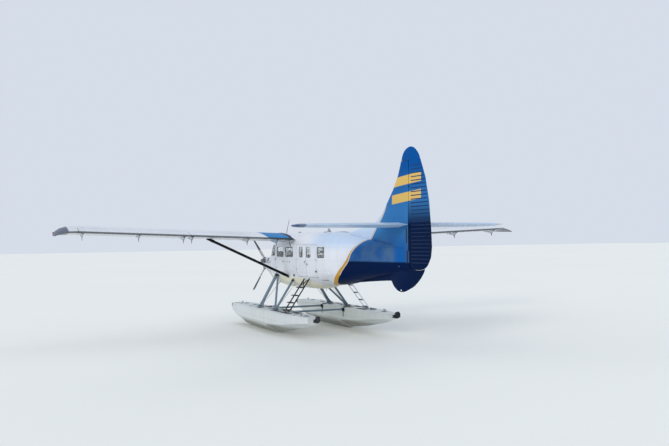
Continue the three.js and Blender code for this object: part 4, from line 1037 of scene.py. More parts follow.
def doors():
    """Edging round each doorway, rivets on each door and its handle."""
    edging = Shape()
    for name, side, u0, u1, sill, handle_u, handle_z in DOORS:
        start, end, foot, top = u0 - EDGE_GROW, u1 + EDGE_GROW, sill - EDGE_GROW, DOOR_TOP + EDGE_GROW
        if name == "cabin_door_front":
            outline = path([(u0, top), (end, top), (end, foot), (u0, foot)], (16, 24, 16))
        elif name == "cabin_door_rear":
            outline = path([(u1, foot), (start, foot), (start, top), (u1, top)], (16, 24, 16))
        else:
            outline = path([(start, foot), (start, top), (end, top), (end, foot), (start, foot)],
                           (24, 20, 24, 20))[:-1]
        shared = name in ("cabin_door_front", "cabin_door_rear")
        edging.bead(*side_line(outline, side), EDGE_WIDE, 0.0018, loop=not shared)
        if name == "cabin_door_rear":
            strip = Shape()
            line = between((u1 - 0.012, sill + 0.01), (u1 - 0.012, DOOR_TOP - 0.01), 30)
            strip.bead(*side_line(line, side), 0.020, 0.0024)
            strip.piece("door_meeting_strip", DOOR_SEAL, "panel_black", "cabin_door_rear_body")
        panel = Shape()
        line = rounded(u0 + RIVET_INSET, u1 - RIVET_INSET, sill + RIVET_INSET, PANEL_TOP, 0.05, 0.04)
        rivets(panel, side_line(line, side), 0.050)
        panel.piece(f"{name}_rivets", AIRFRAME, "airframe_white", f"{name}_body")
        handle(name, side, handle_u, handle_z)
    edging.piece("door_edging", DOOR_SEAL, "panel_black")


def handle(name, side, u, z):
    """A recessed dish with a lever over it, and its lock."""
    point, normal = on_side(u, z, side)
    up = normal.cross(AHEAD).normalized()
    grip = Shape()
    dish = [(-0.003, 0.036), (0.0035, 0.036), (0.006, 0.030), (0.006, 0.024), (0.001, 0.020)]
    grip.lathe(dish, point, normal, 20)
    lever = [(0.004, 0.0), (0.024, 0.0), (0.027, 0.03), (0.026, 0.085), (0.022, 0.11)]
    radii = [0.010, 0.010, 0.009, 0.007, 0.005]
    grip.tube([point + normal * out - AHEAD * back for out, back in lever], radii, 10, flat=0.8)
    lock = point + up * 0.07 * (1 if up.z < 0 else -1)
    grip.lathe([(-0.002, 0.012), (0.004, 0.012), (0.005, 0.009), (0.005, 0.0)], lock, normal, 14)
    grip.piece(f"{name}_handle", STEEL, "bare_metal", f"{name}_body")


doors()

# Front panes as Y and Z, quarter panes as U and Z, and each wiper's foot, head and blade ends as Y and Z
SCREEN = [(0.022, 2.83), (0.022, 3.215), (0.56, 3.215), (0.56, 2.83), (0.022, 2.83)]
QUARTER = [(9.010, 2.690), (9.640, 2.690), (9.640, 2.740), (9.330, 3.060), (9.010, 3.060)]
WIPER = [(0.08, 2.795), (0.35, 3.05), (0.30, 2.90), (0.40, 3.17)]
SCREEN_AHEAD = 8.0


def windscreen_trim():
    """Rubber round the two front panes and the two quarter panes, and a wiper for each front one."""
    wipers, rubbers = Shape(), Shape()
    for side in (1, -1):
        starts = [Vector((SCREEN_AHEAD, y * side, z)) for y, z in path(SCREEN, (8, 10, 8, 10))[:-1]]
        rubbers.bead(*line_on(HULL, starts, -AHEAD), 0.022, 0.007, loop=True)
        rubbers.bead(*side_line(filled(QUARTER, 0.04, 2), side), 0.020, 0.006, loop=True)
        points, normals = line_on(HULL, [Vector((SCREEN_AHEAD, y * side, z)) for y, z in WIPER], -AHEAD)
        foot, head, low, high = points
        foot_n, head_n, low_n, high_n = normals
        wipers.lathe([(0.0, 0.016), (0.02, 0.016), (0.026, 0.010)], foot, foot_n, 14)
        middle = (foot + head) / 2
        wipers.tube([foot + foot_n * 0.018, middle + head_n * 0.03, head + head_n * 0.02], 0.005, 8)
        wipers.tube([low + low_n * 0.012, head + head_n * 0.018, high + high_n * 0.012], 0.006, 8)
    rubbers.piece("windscreen_rubber", RUBBER, "panel_black")
    wipers.piece("wipers", DARK_PAINT, "dark_metal")


windscreen_trim()


def hull_ring(u, low, high, count=60):
    """Skin points round the fuselage at one station; angles in degrees from straight up, towards port."""
    points, normals = [], []
    for angle in share(low, high, count):
        turn = math.radians(angle)
        out = Vector((0, math.sin(turn), math.cos(turn)))
        point, normal = hit(HULL, place(u, 0, 2.55 if u > 1.5 else 2.62) + out * 3, -out)
        points.append(point)
        normals.append(normal)
    return points, normals


LAP_US = (1.05, 1.95, 2.85, 3.98)
# Rivet rows along the sides: Z, U from and to; and up them: U, Z from and to
SIDE_ROWS = [(2.36, 0.9, 4.9), (2.08, 2.9, 4.9), (2.62, 0.35, 4.2), (2.40, 6.86, 7.86), (3.14, 2.0, 6.8),
             (2.06, 6.86, 7.86), (2.50, 9.02, 9.70), (2.20, 9.02, 9.70)]
SIDE_POSTS = [(6.92, 1.98, 3.08), (7.40, 1.98, 2.6), (9.0, 1.9, 2.62), (9.72, 1.9, 2.66), (4.33, 1.86, 3.3),
              (4.97, 1.82, 1.97)]


def fuselage_seams():
    """Lap joints with their rivets: bands round the tail and rows along the sides."""
    laps, heads = Shape(), Shape()
    for u in LAP_US:
        line = hull_ring(u, 22, 338)
        laps.bead(*line, 0.020, 0.0012)
        rivets(heads, line)
    for side in (1, -1):
        for z, low, high in SIDE_ROWS:
            rivets(heads, side_line([(u, z) for u in share(low, high, 40)], side))
        for u, low, high in SIDE_POSTS:
            rivets(heads, side_line([(u, z) for z in share(low, high, 30)], side))
    laps.piece("fuselage_laps", AIRFRAME, "tail_navy")
    heads.piece("fuselage_rivets", AIRFRAME, "airframe_white")


fuselage_seams()

# Round fittings on both sides: which piece, profile (along, radius), sides, and (U, Z) places
ROUND_FITTINGS = [
    ("dark", [(-0.003, 0.022), (0.006, 0.022), (0.009, 0.0132), (0.009, 0.0)], 18, [(7.42, 2.483)]),
    ("dark", [(-0.003, 0.020), (0.006, 0.020), (0.009, 0.012), (0.009, 0.0)], 18, [(8.985, 2.523)]),
    ("dark", [(-0.003, 0.014), (0.006, 0.014), (0.009, 0.0084), (0.009, 0.0)], 18, [(6.98, 2.30)]),
    ("dark", [(-0.01, 0.042), (0.020, 0.040), (0.034, 0.026), (0.036, 0.0)], 18, [(7.079, 2.000)]),
    ("pale",
     [(-0.003, 0.058), (0.004, 0.058), (0.007, 0.052), (0.007, 0.030), (0.010, 0.026), (0.010, 0.0)], 24,
     [(6.98, 2.10), (4.70, 2.12), (4.25, 2.12)]),
    ("steel",
     [(-0.004, 0.018), (0.004, 0.018), (0.006, 0.014), (0.004, 0.0)], 16, [(0.55, 2.45), (9.2, 2.0)]),
]


def side_fittings():
    """Small hardware on the fuselage's sides and belly."""
    shapes = {"dark": Shape(), "pale": Shape(), "steel": Shape()}
    for side in (1, -1):
        for kind, profile, count, places in ROUND_FITTINGS:
            for u, z in places:
                shapes[kind].lathe(profile, *on_side(u, z, side), count)
        for u in (7.61, 7.70, 7.79):
            point, normal = on_side(u, 2.487, side)
            line = [point + AHEAD * step for step in (-0.028, 0, 0.028)]
            shapes["dark"].bead(line, [normal] * 3, 0.014, 0.003)
        point, normal = on_side(5.085, 2.194, side)
        shapes["dark"].plate(point - normal * 0.004, corners(-0.055, 0.055, -0.03, 0.03), normal * 0.012,
                             second=normal.cross(AHEAD))
    drain, _ = on_face(HULL, 6.4, -0.2, 1)
    bends = [drain + Vector(step) for step in ((0, 0, 0.01), (-0.01, 0, -0.06), (-0.04, 0, -0.09))]
    shapes["steel"].tube(bends, 0.008, 10)
    shapes["dark"].piece("side_fittings_dark", DARK_PAINT, "dark_metal")
    shapes["pale"].piece("filler_caps", TRIM_WHITE, "airframe_white")
    shapes["steel"].piece("static_ports", STEEL, "bare_metal")


side_fittings()

ROOF = node_tree("cabin_roof")
WHIP_TIP = place(8.41, 0.40, 4.035)


def roof_fittings():
    """Whip and blade antennas, a dome and the vents on the roof."""
    dark, pale = Shape(), Shape()
    foot, _ = on_face(ROOF, 8.74, 0.40)
    dark.lathe([(-0.01, 0.026), (0.012, 0.024), (0.03, 0.012), (0.05, 0.007)], foot, UP, 16)
    dark.tube([foot, foot.lerp(WHIP_TIP, 0.5) + AHEAD * 0.012, WHIP_TIP], [0.010, 0.008, 0.006], 10)
    foot, _ = on_face(ROOF, 5.63, 0.0)
    blade = [(-0.19, -0.02), (0.19, -0.02), (0.075, 0.118), (-0.035, 0.126)]
    pale.plate(foot - PORT * 0.007, blade, PORT * 0.014, second=UP)
    pale.prism(oval(foot - UP * 0.012, AHEAD * 0.22, PORT * 0.045, 20), UP * 0.020)
    foot, _ = on_face(ROOF, 8.35, 0.0)
    pale.lathe([(-0.03, 0.070), (0.0, 0.066), (0.025, 0.054), (0.042, 0.030), (0.047, 0.0)], foot, UP, 28)
    for y in (-0.33, 0.33):
        foot, _ = on_face(ROOF, 5.2, y)
        pale.plate(foot - UP * 0.01, corners(-0.07, 0.05, -0.03, 0.03), (0.02, 0, 0.035))
    dark.piece("whip_antenna", DARK_PAINT, "dark_metal", bevel=0.0015)
    pale.piece("roof_antennas", GREY_PAINT, "airframe_white", bevel=0.003)


roof_fittings()

WINGS = {side: node_tree(f"wing_{name}", f"flap_{name}", f"aileron_{name}") for name, side in SIDES}
WING_TE_U = 6.89
WING_Z = 3.28
ROOT_OUT = 0.79
DIHEDRAL = math.tan(math.radians(2.4))


def wing_at(u, out, side, rise=0.0):
    """A place in a wing's own plane, out along the span."""
    return place(u, side * out, WING_Z + (out - ROOT_OUT) * DIHEDRAL + rise)


def wing_root_fillets():
    """The dark-blue fairing where each wing's top and nose meet the roof."""
    for name, side in SIDES:
        rings = []
        for u in share(7.32, 8.86, 26):
            inner, _ = on_face(ROOF, u, 0.745 * side)
            outer, _ = on_face(WINGS[side], u, 0.865 * side)
            middle = Vector((inner.x, 0.80 * side, (inner.z + outer.z) / 2 + 0.012))
            rings.append([inner - UP * 0.01, inner + UP * 0.004, middle,
                          outer + UP * 0.004, outer - UP * 0.01])
        fillet = Shape()
        fillet.loft(rings)
        fillet.piece(f"wing_root_fillet_{name}", TRIM_BLUE, "tail_navy", sharp=50)


wing_root_fillets()

HOOK_OUTS = (1.350, 2.440, 4.420, 4.700, 6.200, 8.000)
HOOK_U = WING_TE_U + 0.38
LAMP_DOME = [(-0.03, 0.090), (0.004, 0.088), (0.014, 0.070), (0.019, 0.030), (0.020, 0.0)]
HOOK = [(0.060, 0.020), (0.030, -0.020), (-0.010, -0.030), (-0.016, -0.070), (-0.010, -0.125),
        (0.008, -0.130), (0.014, -0.075), (0.055, -0.045), (0.090, 0.010), (0.090, 0.025)]
LAMP_OUT = 4.10
LAMP_RISE = 0.105


def wing_fittings():
    """Mass-balance hooks under the hinges, a landing lamp and a tip lamp on each wing."""
    for name, side in SIDES:
        hooks, lamp, tip_lamp = Shape(), Shape(), Shape()
        for out in HOOK_OUTS:
            hooks.plate(wing_at(HOOK_U, out, side, -0.12) - PORT * 0.005, HOOK, PORT * 0.010, second=UP)
        hooks.piece(f"wing_hooks_{name}", DARK_PAINT, "dark_metal", bevel=0.001)
        nose, normal = hit(WINGS[side], wing_at(12, LAMP_OUT, side, LAMP_RISE), -AHEAD)
        lamp.lathe(LAMP_DOME, nose, normal, 28)
        lamp.piece(f"landing_lamp_{name}", CLEAR_LAMP, "glazing")
        tip, _ = hit(WINGS[side], place(8.25, side * 12, 3.60), PORT * -side)
        lens = [(-0.02, 0.036), (0.012, 0.036), (0.035, 0.028), (0.044, 0.012), (0.046, 0.0)]
        tip_lamp.lathe(lens, tip, PORT * side, 20)
        tip_lamp.piece(f"wing_tip_lamp_{name}", RED_GLASS if side > 0 else GREEN_GLASS, "glazing")


wing_fittings()


# Tail
def leaf_beads(name, rows, width, height, material, slot):
    """Raised ribs over both faces of a control surface: rows of (start, end, direction of the rays)."""
    tree = node_tree(name)
    shape = Shape()
    for start, end, towards in rows:
        starts = [start.lerp(end, t) - Vector(towards) * 2 for t in share(0, 1, 9)]
        shape.bead(*line_on(tree, starts, towards), width, height, sink=0.001)
    shape.piece(f"{name}_ribs", material, slot, f"{name}_body")


def wicks(name, roots, body):
    """Static wicks, which trail from roots on an edge."""
    shape = Shape()
    for root in roots:
        shape.tube([root + AHEAD * 0.03, root - AHEAD * 0.05, root - Vector((0.13, 0, 0.004))],
                   [0.004, 0.003, 0.0016], 8)
    shape.piece(name, DARK_PAINT, "dark_metal", body)


RUDDER_TE = [(2.515, -0.850), (2.60, -0.922), (2.728, -1.015), (3.00, -1.070), (3.50, -1.045),
             (4.269, -0.963), (4.909, -0.799), (5.384, -0.573)]
RIB_LOW, RIB_STEP, RIBS = 2.57, 0.104, 27
TAB_U = -0.86
TAB_LOW, TAB_HIGH = 2.90, 3.72


def rudder_details():
    rows = []
    for z in (RIB_LOW + i * RIB_STEP for i in range(RIBS)):
        start, end = place(-0.105, 0, z), place(along_table(RUDDER_TE, z) + 0.045, 0, z)
        rows += [(start, end, (0, side, 0)) for side in (1, -1)]
    leaf_beads("rudder", rows, 0.030, 0.0045, RIB_PAINT, "tail_navy")
    tree = node_tree("rudder")
    tab = Shape()
    outline = [(along_table(RUDDER_TE, z) + 0.030, z) for z in share(TAB_LOW, TAB_HIGH, 12)]
    outline += [(TAB_U, TAB_HIGH), *between((TAB_U, TAB_HIGH), (TAB_U - 0.02, TAB_LOW), 12)]
    for side in (1, -1):
        tab.bead(*side_line(outline, side, tree), 0.010, 0.0035, loop=True)
        arm, normal = on_side(-0.80, 3.30, side, tree)
        tab.plate(arm, corners(-0.05, 0.05, -0.004, 0.004), normal * 0.045, second=UP)
        tab.tube([arm + normal * 0.038, arm + normal * 0.034 - Vector((0.16, 0, 0.01))], 0.004, 8)
    tab.piece("rudder_tab", DARK_PAINT, "dark_metal", "rudder_body")


rudder_details()

# Top of the fin, under the rudder's balance
FIN_TOP = 5.447
FIN_NOSE = [(3.59, 3.120), (3.64, 2.720), (3.764, 2.137), (3.966, 1.748), (4.204, 1.480), (4.669, 1.004),
            (5.053, 0.700), (5.30, 0.575), (5.447, 0.511)]
# Rivet rows on the fin, as (U, Z) ends
FIN_ROWS = [((along_table(FIN_NOSE, z) - 0.06, z), (0.12, z)) for z in share(3.75, 5.28, 6)]
FIN_ROWS += [((0.165, 3.74), (0.165, 5.42)), ((0.56, 3.74), (0.56, 5.20)), ((0.165, 3.10), (0.165, 3.56)),
             ((1.9, 3.44), (0.16, 3.44)), ((2.6, 3.40), (3.6, 3.44))]
# The flange at the fin's rear post: piece, U, bead's width and height, Z on the fuselage and on the fin
FLANGES = [
    ("pale", 0.200, 0.012, 0.004, (2.62, 2.96, 10), (3.12, 3.55, 12)),
    ("pale", 0.105, 0.010, 0.004, (2.62, 2.96, 10), (3.12, 3.55, 12)),
    ("dark", 0.152, 0.060, 0.003, (2.55, 2.98, 12), (3.12, 3.56, 12)),
]
GUARD = [(1.268, 2.200), (1.245, 2.150), (1.190, 2.030), (1.090, 1.920), (0.990, 1.830)]
GUARD_OUT = Vector((0.9, 0, -0.35))
TOP_SEAL = [(0.495, 0.0), (0.400, 0.010), (0.100, 0.016), (0.100, -0.016), (0.400, -0.010)]


def fin_details():
    """Rivets, the rear post's flange, the ventral fin's guard, the tail lamp and the rudder's seals."""
    fin, ventral = node_tree("fin"), node_tree("ventral_fin")
    heads, pale, dark, guard, lamp, seals = (Shape() for _ in range(6))
    for side in (1, -1):
        for start, end in FIN_ROWS:
            rivets(heads, side_line(between(start, end, 24), side, fin), 0.045, 0.004, 0.0016)
        for kind, u, width, height, low, high in FLANGES:
            shape = pale if kind == "pale" else dark
            for tree, span in ((HULL, low), (fin, high)):
                shape.bead(*side_line([(u, z) for z in share(*span)], side, tree), width, height)
    heads.piece("fin_rivets", AIRFRAME, "tail_blue")
    pale.piece("fin_flange_edges", SEALANT, "bare_metal")
    dark.piece("fin_flange", DARK_PAINT, "tail_navy")
    guard.bead([place(u + 0.001, 0, z) for u, z in GUARD], [GUARD_OUT] * len(GUARD), 0.030, 0.006)
    guard.piece("ventral_fin_guard", SEALANT, "bare_metal")
    for side in (1, -1):
        lens = [(-0.004, 0.024), (0.006, 0.024), (0.016, 0.017), (0.020, 0.006), (0.020, 0.0)]
        lamp.lathe(lens, *on_side(0.570, 1.775, side, ventral), 18)
    lamp.piece("tail_lamp", CLEAR_LAMP, "glazing")
    seals.prism([place(u, y, FIN_TOP - 0.001) for u, y in TOP_SEAL], UP * 0.013)
    tops = [hit(ventral, place(u, 0.0005, 2.4145 if u > -0.1 else 2.37 if u > -0.5 else 2.39), -UP)[0]
            for u in share(0.04, -0.60, 16)]
    front = [p for p in tops if p.x + MID > -0.14]
    rear = [p for p in tops if p.x + MID < -0.08]
    seals.bead(front, [UP] * len(front), 0.030, 0.0055, sink=0.004)
    seals.bead(rear, [UP] * len(rear), 0.030, 0.0090, sink=0.004)
    seals.piece("tail_seals", RUBBER, "panel_black")


fin_details()

TAILPLANE_Z = 3.64


def tailplane_details():
    tree = node_tree("tailplane", "elevator")
    heads = Shape()
    for side in (1, -1):
        for towards in (-1, 1):
            lines = [[(u, side * out) for u in share(1.36 - out * 0.075, 0.60, 12)]
                     for out in (0.5, 0.98, 1.46, 1.94, 2.42, 2.86)]
            lines.append([(0.66, side * out) for out in share(0.2, 2.9, 40)])
            for line in lines:
                rivets(heads, face_line(tree, line, towards), 0.05, 0.004, 0.0016)
    heads.piece("tailplane_rivets", TAILPLANE, "tail_white")
    rows = []
    for side in (1, -1):
        for out in (0.22 + i * 0.128 for i in range(22)):
            start, end = (place(u, side * out, TAILPLANE_Z) for u in (0.40, 0.035 if out < 2.9 else 0.10))
            rows += [(start, end, (0, 0, towards)) for towards in (1, -1)]
    leaf_beads("elevator", rows, 0.022, 0.0045, TAILPLANE, "tail_white")
    starts = [place(0.05, side * out, TAILPLANE_Z) for side in (1, -1) for out in (1.9, 2.4, 2.9)]
    wicks("elevator_wicks", starts,
          "elevator_body")


tailplane_details()

FUEL_CAP = [(-0.004, 0.060), (0.004, 0.060), (0.008, 0.052), (0.008, 0.034), (0.014, 0.028), (0.014, 0.0)]
LOWER_PLATE = [(-0.004, 0.075), (0.0025, 0.074), (0.004, 0.066), (0.004, 0.0)]


def wing_surface_details():
    for name, side in SIDES:
        tree = WINGS[side]
        for kind, low, high in (("flap", 0.95, 4.40), ("aileron", 4.62, 7.95)):
            near, far = WING_TE_U + 0.30, WING_TE_U + 0.035
            rows = [(wing_at(near, out, side), wing_at(far, out, side), (0, 0, towards))
                    for out in share(low, high, 26) for towards in (1, -1)]
            leaf_beads(f"{kind}_{name}", rows, 0.018, 0.0030, WING, "airframe_white")
        heads, caps = Shape(), Shape()
        for out in (0.95 + 0.36 * i for i in range(21)):
            for towards in (-1, 1):
                line = [(u, side * out) for u in share(8.70, WING_TE_U + 0.86, 18)]
                rivets(heads, face_line(tree, line, towards), 0.055, 0.0042, 0.0016)
        for u in (7.80, 8.25, 8.62):
            line = [(u, side * out) for out in share(0.95, 8.2, 60)]
            rivets(heads, face_line(tree, line), 0.060, 0.0042, 0.0016)
        heads.piece(f"wing_rivets_{name}", WING, "airframe_white")
        for u, out in ((7.95, 1.9), (7.95, 3.1)):
            caps.lathe(FUEL_CAP, *on_face(tree, u, side * out), 24)
        for u, out in ((7.9, 5.2), (7.9, 6.6), (8.3, 2.2)):
            caps.lathe(LOWER_PLATE, *on_face(tree, u, side * out, 1), 28)
        caps.piece(f"wing_caps_{name}", TRIM_WHITE, "airframe_white")
        wicks(f"aileron_wicks_{name}", [wing_at(WING_TE_U, out, side, 0.004) for out in (6.9, 7.4, 7.9)],
              f"aileron_{name}_body")


wing_surface_details()

# Floats and their gear
DECK = 0.800
FLOAT_OUT = 1.420
FLOATS = {side: node_tree(f"float_{name}") for name, side in SIDES}


def float_top(side, u, off):
    """A place on a float's deck; off is measured outboard from its centre line."""
    return on_face(FLOATS[side], u, side * (FLOAT_OUT + off))


def float_side(side, places, face):
    """Points and normals at (U, Z) places on a float's outer (1) or inner (-1) side."""
    return line_on(FLOATS[side], [place(u, side * (FLOAT_OUT + face * 2), z) for u, z in places],
                   PORT * (-side * face))


CHINE = [(4.0, 0.575), (4.5, 0.54), (5.6, 0.42), (6.9, 0.334), (7.0, 0.250), (8.2, 0.260), (9.8, 0.30),
         (10.7, 0.40), (11.4, 0.54), (11.8, 0.605)]
GUNWALE_Z = 0.742
GUNWALE_BEND = 10.9
# Hatches and cleats as U and outboard offset, and the walkway's strips as U from and to
HATCHES = ((4.35, 0.0), (5.15, 0.0), (6.20, 0.22), (7.75, 0.0), (9.55, 0.0), (10.55, 0.0))
HATCH = [(-0.003, 0.105), (0.008, 0.103), (0.012, 0.094), (0.010, 0.086), (0.014, 0.078), (0.016, 0.0)]
CLEATS = ((4.53, 0.10), (6.05, 0.07), (8.15, 0.30), (8.15, -0.28), (11.05, 0.0))
HORN = [(-0.095, 0.012), (-0.05, 0.0), (0.05, 0.0), (0.095, 0.012)]
WALKWAY = ((5.35, 6.05), (6.45, 7.00), (8.25, 8.62))
# Keel strips: U from and to, steps, lift, width and height
KEELS = ((7.05, 11.6, 40, 0.010, 0.050, 0.0096), (4.1, 6.85, 30, 0.0, 0.044, 0.010))
BOW_DECK = [(11.4, 0.78), (11.82, 0.74), (12.0, 0.695)]


def bow_bumper(rubber, side):
    """The rubber cap over a float's bow."""
    rings = []
    for u in share(11.62, 11.97, 6):
        low, deck = 0.60 + (u - 11.62) * 0.06, along_table(BOW_DECK, u)
        points, _ = float_side(side, [(u, (low + deck) / 2 - 0.02)], 1)
        wide = abs(points[0].y) - FLOAT_OUT + 0.022
        tall = (deck - low) / 2 + 0.014
        rings.append([place(u, side * FLOAT_OUT + wide * squared(math.cos(t), 0.5),
                            (low + deck) / 2 + tall * squared(math.sin(t), 0.6))
                      for t in (TAU * k / 28 for k in range(28))])
    last = rings[-1]
    centre = sum(last, Vector()) / len(last)
    for reach, size in ((0.030, 0.86), (0.050, 0.55)):
        rings.append([centre + (p - centre) * size + AHEAD * reach for p in last])
    rubber.loft(rings)


def float_details():
    for name, side in SIDES:
        strips, heads, hatches, rubber, cleats, walk = (Shape() for _ in range(6))
        for face in (1, -1):
            chine = [(u, along_table(CHINE, u) + 0.028) for u in share(4.0, 11.75, 80)]
            strips.bead(*float_side(side, chine, face), 0.034, 0.012)
            gunwale = float_side(side, [(u, GUNWALE_Z - max(0.0, u - GUNWALE_BEND) * 0.075)
                                        for u in share(3.95, 11.70, 70)], face)
            strips.bead(*gunwale, 0.030, 0.010)
            rivets(heads, gunwale, 0.060, 0.0045, 0.0130)
            for u in (4.3 + i * 0.42 for i in range(17)):
                post = [(u, z) for z in share(along_table(CHINE, u) + 0.055, 0.715, 8)]
                rivets(heads, float_side(side, post, face), 0.050, 0.0045, 0.0018)
        for low, high, count, lift, width, height in KEELS:
            keel, _ = face_line(FLOATS[side], [(u, side * FLOAT_OUT) for u in share(low, high, count)], 1)
            strips.bead([p + UP * lift for p in keel], [-UP] * len(keel), width, height)
        for off in (-0.30, 0.30):
            line = [(u, side * (FLOAT_OUT + off)) for u in share(4.70, 10.7, 60)]
            rivets(heads, face_line(FLOATS[side], line), 0.060, 0.0045, 0.0018)
        for u, off in HATCHES:
            point, normal = float_top(side, u, off)
            hatches.lathe(HATCH, point, normal, 28)
            hatches.plate(point + UP * 0.014, corners(-0.045, 0.045, -0.009, 0.009), UP * 0.012)
        for i in range(6):
            rubber.dome(*float_top(side, 4.75 + i * 1.12, 0.27), 0.026, 0.016, 14)
        for u, off in CLEATS:
            point, _ = float_top(side, u, off)
            top = point + UP * 0.055
            cleats.plate(point - UP * 0.002, corners(-0.06, 0.06, -0.022, 0.022), UP * 0.008)
            for du in (-0.028, 0.028):
                cleats.tube([point + AHEAD * du, top + AHEAD * (du * 0.8)], 0.010, 10)
            cleats.tube([top + Vector((du, 0, dz)) for du, dz in HORN], [0.006, 0.011, 0.011, 0.006], 10)
        for low, high in WALKWAY:
            for off in (-0.17, 0.17):
                walk.plate(place(0, side * FLOAT_OUT, DECK - 0.001),
                           rounded(low, high, off - 0.11, off + 0.11, 0.03), UP * 0.0035, second=PORT * side)
        bow_bumper(rubber, side)
        strips.piece(f"float_strips_{name}", FLOAT, "float_grey")
        heads.piece(f"float_rivets_{name}", FLOAT, "float_grey")
        hatches.piece(f"float_hatches_{name}", GEAR, "float_grey")
        rubber.piece(f"float_bumper_{name}", RUBBER, "panel_black")
        cleats.piece(f"float_cleats_{name}", STEEL, "bare_metal")
        walk.piece(f"float_walkway_{name}", NON_SKID, "dark_metal")


float_details()

# Each leg's top and foot as U, Y, Z, and its width and thickness
LEGS = {
    "front": ((8.94, 0.70, 2.03), (8.87, 1.42, 0.81), (0.210, 0.098)),
    "rear": ((7.30, 0.69, 1.86), (7.20, 1.42, 0.81), (0.140, 0.070)),
    "brace": ((8.87, 0.70, 2.03), (7.28, 1.42, 0.81), (0.110, 0.060)),
}
HEAD_CUFFS = {"front": (0.050, 0.105), "rear": (0.030, 0.085), "brace": (0.050, 0.110)}
FOOT_CUFF = (0.895, 0.945)
CUFF_GROW = 0.006


def oval_cuff(shape, near, far, size, start, end, ease, count):
    """A sleeve round an oval strut between two shares of its length."""
    along = (far - near).normalized()
    across = (AHEAD - along * along.x).normalized()
    third = along.cross(across)
    wide, thick = (half + CUFF_GROW for half in size)
    shape.loft([oval(near.lerp(far, t), across * (wide * grow), third * (thick * grow), count)
                for t, grow in ((start, 0.97), (start + ease, 1.0), (end - ease, 1.0), (end, 0.97))])


# The web at the front leg's foot: steps along X, and heights
WEB = [(-0.06, 0.36), (-0.105, 0.24), (-0.150, 0.140), (-0.215, 0.075), (-0.300, 0.030), (-0.385, -0.006),
       (-0.05, -0.006)]
SPREADER_COVER = [(0.0, 0.058), (0.030, 0.056), (0.075, 0.044), (0.078, 0.034)]


def leg_ends(leg, side):
    """A leg's top and foot on one side."""
    return [place(u, side * y, z) for u, y, z in LEGS[leg][:2]]


def gear_details():
    """Cuffs, foot plates, bolts and wires on the float struts, and the spreader bars' end fittings."""
    for name, side in SIDES:
        dark, pale, bolts, wires = Shape(), Shape(), Shape(), Shape()
        for leg, (_, _, size) in LEGS.items():
            half = [s / 2 for s in size]
            oval_cuff(dark, *leg_ends(leg, side), half, *HEAD_CUFFS[leg], 0.008, 28)
            oval_cuff(pale, *leg_ends(leg, side), half, *FOOT_CUFF, 0.008, 28)
        for u in (8.87, 7.24):
            base = place(u, side * FLOAT_OUT, DECK)
            dark.plate(base - UP * 0.001, rounded(-0.17, 0.17, -0.10, 0.10, 0.03), UP * 0.010)
            for du, dy in corners(-0.15, 0.15, -0.078, 0.078):
                bolts.dome(base + Vector((du, dy, 0.009)), UP, 0.012, 0.012)
            for du in (-0.085, 0.0, 0.085):
                for face in (-1, 1):
                    bolts.dome(base + Vector((du, face * 0.060, 0.030)), PORT * face, 0.011, 0.010)
        top, foot = leg_ends("front", side)
        lean = top - foot
        out = lean.cross(AHEAD).normalized()
        web = [foot + AHEAD * du + lean * (rise / lean.z) - out * 0.012 for du, rise in WEB]
        pale.prism(web, out * 0.024)
        for u, inner in ((8.87, 0.60), (7.24, 0.62)):
            low = place(u, side * 1.355, DECK + 0.05)
            belly, _ = on_face(HULL, u, side * inner, 1)
            wires.tube([low, low.lerp(belly, 0.5) - UP * 0.004, belly], 0.0065, 8)
            for end, other in ((low, belly), (belly, low)):
                ahead = (other - end).normalized()
                wires.tube([end + ahead * 0.01, end + ahead * 0.14], 0.012, 10)
        for u, post_u in ((8.62, 8.60), (6.70, 6.72)):
            (wall, post), (normal, post_n) = float_side(side, [(u, 0.72), (post_u, 0.62)], -1)
            dark.plate(wall, rounded(-0.085, 0.085, -0.075, 0.060, 0.02), normal * 0.014, second=UP)
            dark.lathe(SPREADER_COVER, wall + UP * 0.01, normal, 24)
            edge, _ = float_top(side, post_u, -0.34)
            dark.plate(edge - UP * 0.004, corners(-0.10, 0.10, -0.045, 0.06), UP * 0.022, second=PORT * side)
            dark.tube([post + post_n * 0.012 + UP * rise for rise in (0.16, -0.16)], 0.013, 10)
            for du, dz in corners(-0.06, 0.06, 0.035, -0.050):
                bolts.dome(wall + normal * 0.014 + Vector((du, 0, dz)), normal, 0.010, 0.008)
        dark.piece(f"gear_fittings_{name}", DARK_PAINT, "dark_metal", bevel=0.0015)
        pale.piece(f"gear_cuffs_{name}", GEAR, "gear_grey", bevel=0.0015)
        bolts.piece(f"gear_bolts_{name}", STEEL, "bare_metal")
        wires.piece(f"gear_wires_{name}", WIRE, "bare_metal")


gear_details()

LADDERS = [
    # name, side, middle U, lean aft, half width, top Y and Z, tread's near edge and depth, rung shares
    ("left", 1, 6.210, -0.230, 0.215, 0.725, 1.900, -0.014, 0.110, (0.055, 0.277, 0.499, 0.745)),
    ("right", -1, 5.470, 0.0, 0.185, 0.590, 1.850, -0.016, 0.034, (0.095, 0.33, 0.576, 0.83)),
]
LADDER_FOOT = 1.380
BRACE_OUT = 0.022
TREAD_RIDGES = 9


def ladder_place(row, du, height, out=0.0):
    """A place on a ladder: du along its rungs, and height as a share of the way up."""
    _, side, middle, lean, _, top_y, top_z = row[:7]
    return place(middle + lean * height + du, side * (LADDER_FOOT + (top_y - LADDER_FOOT) * height + out),
                 DECK + (top_z - DECK) * height)


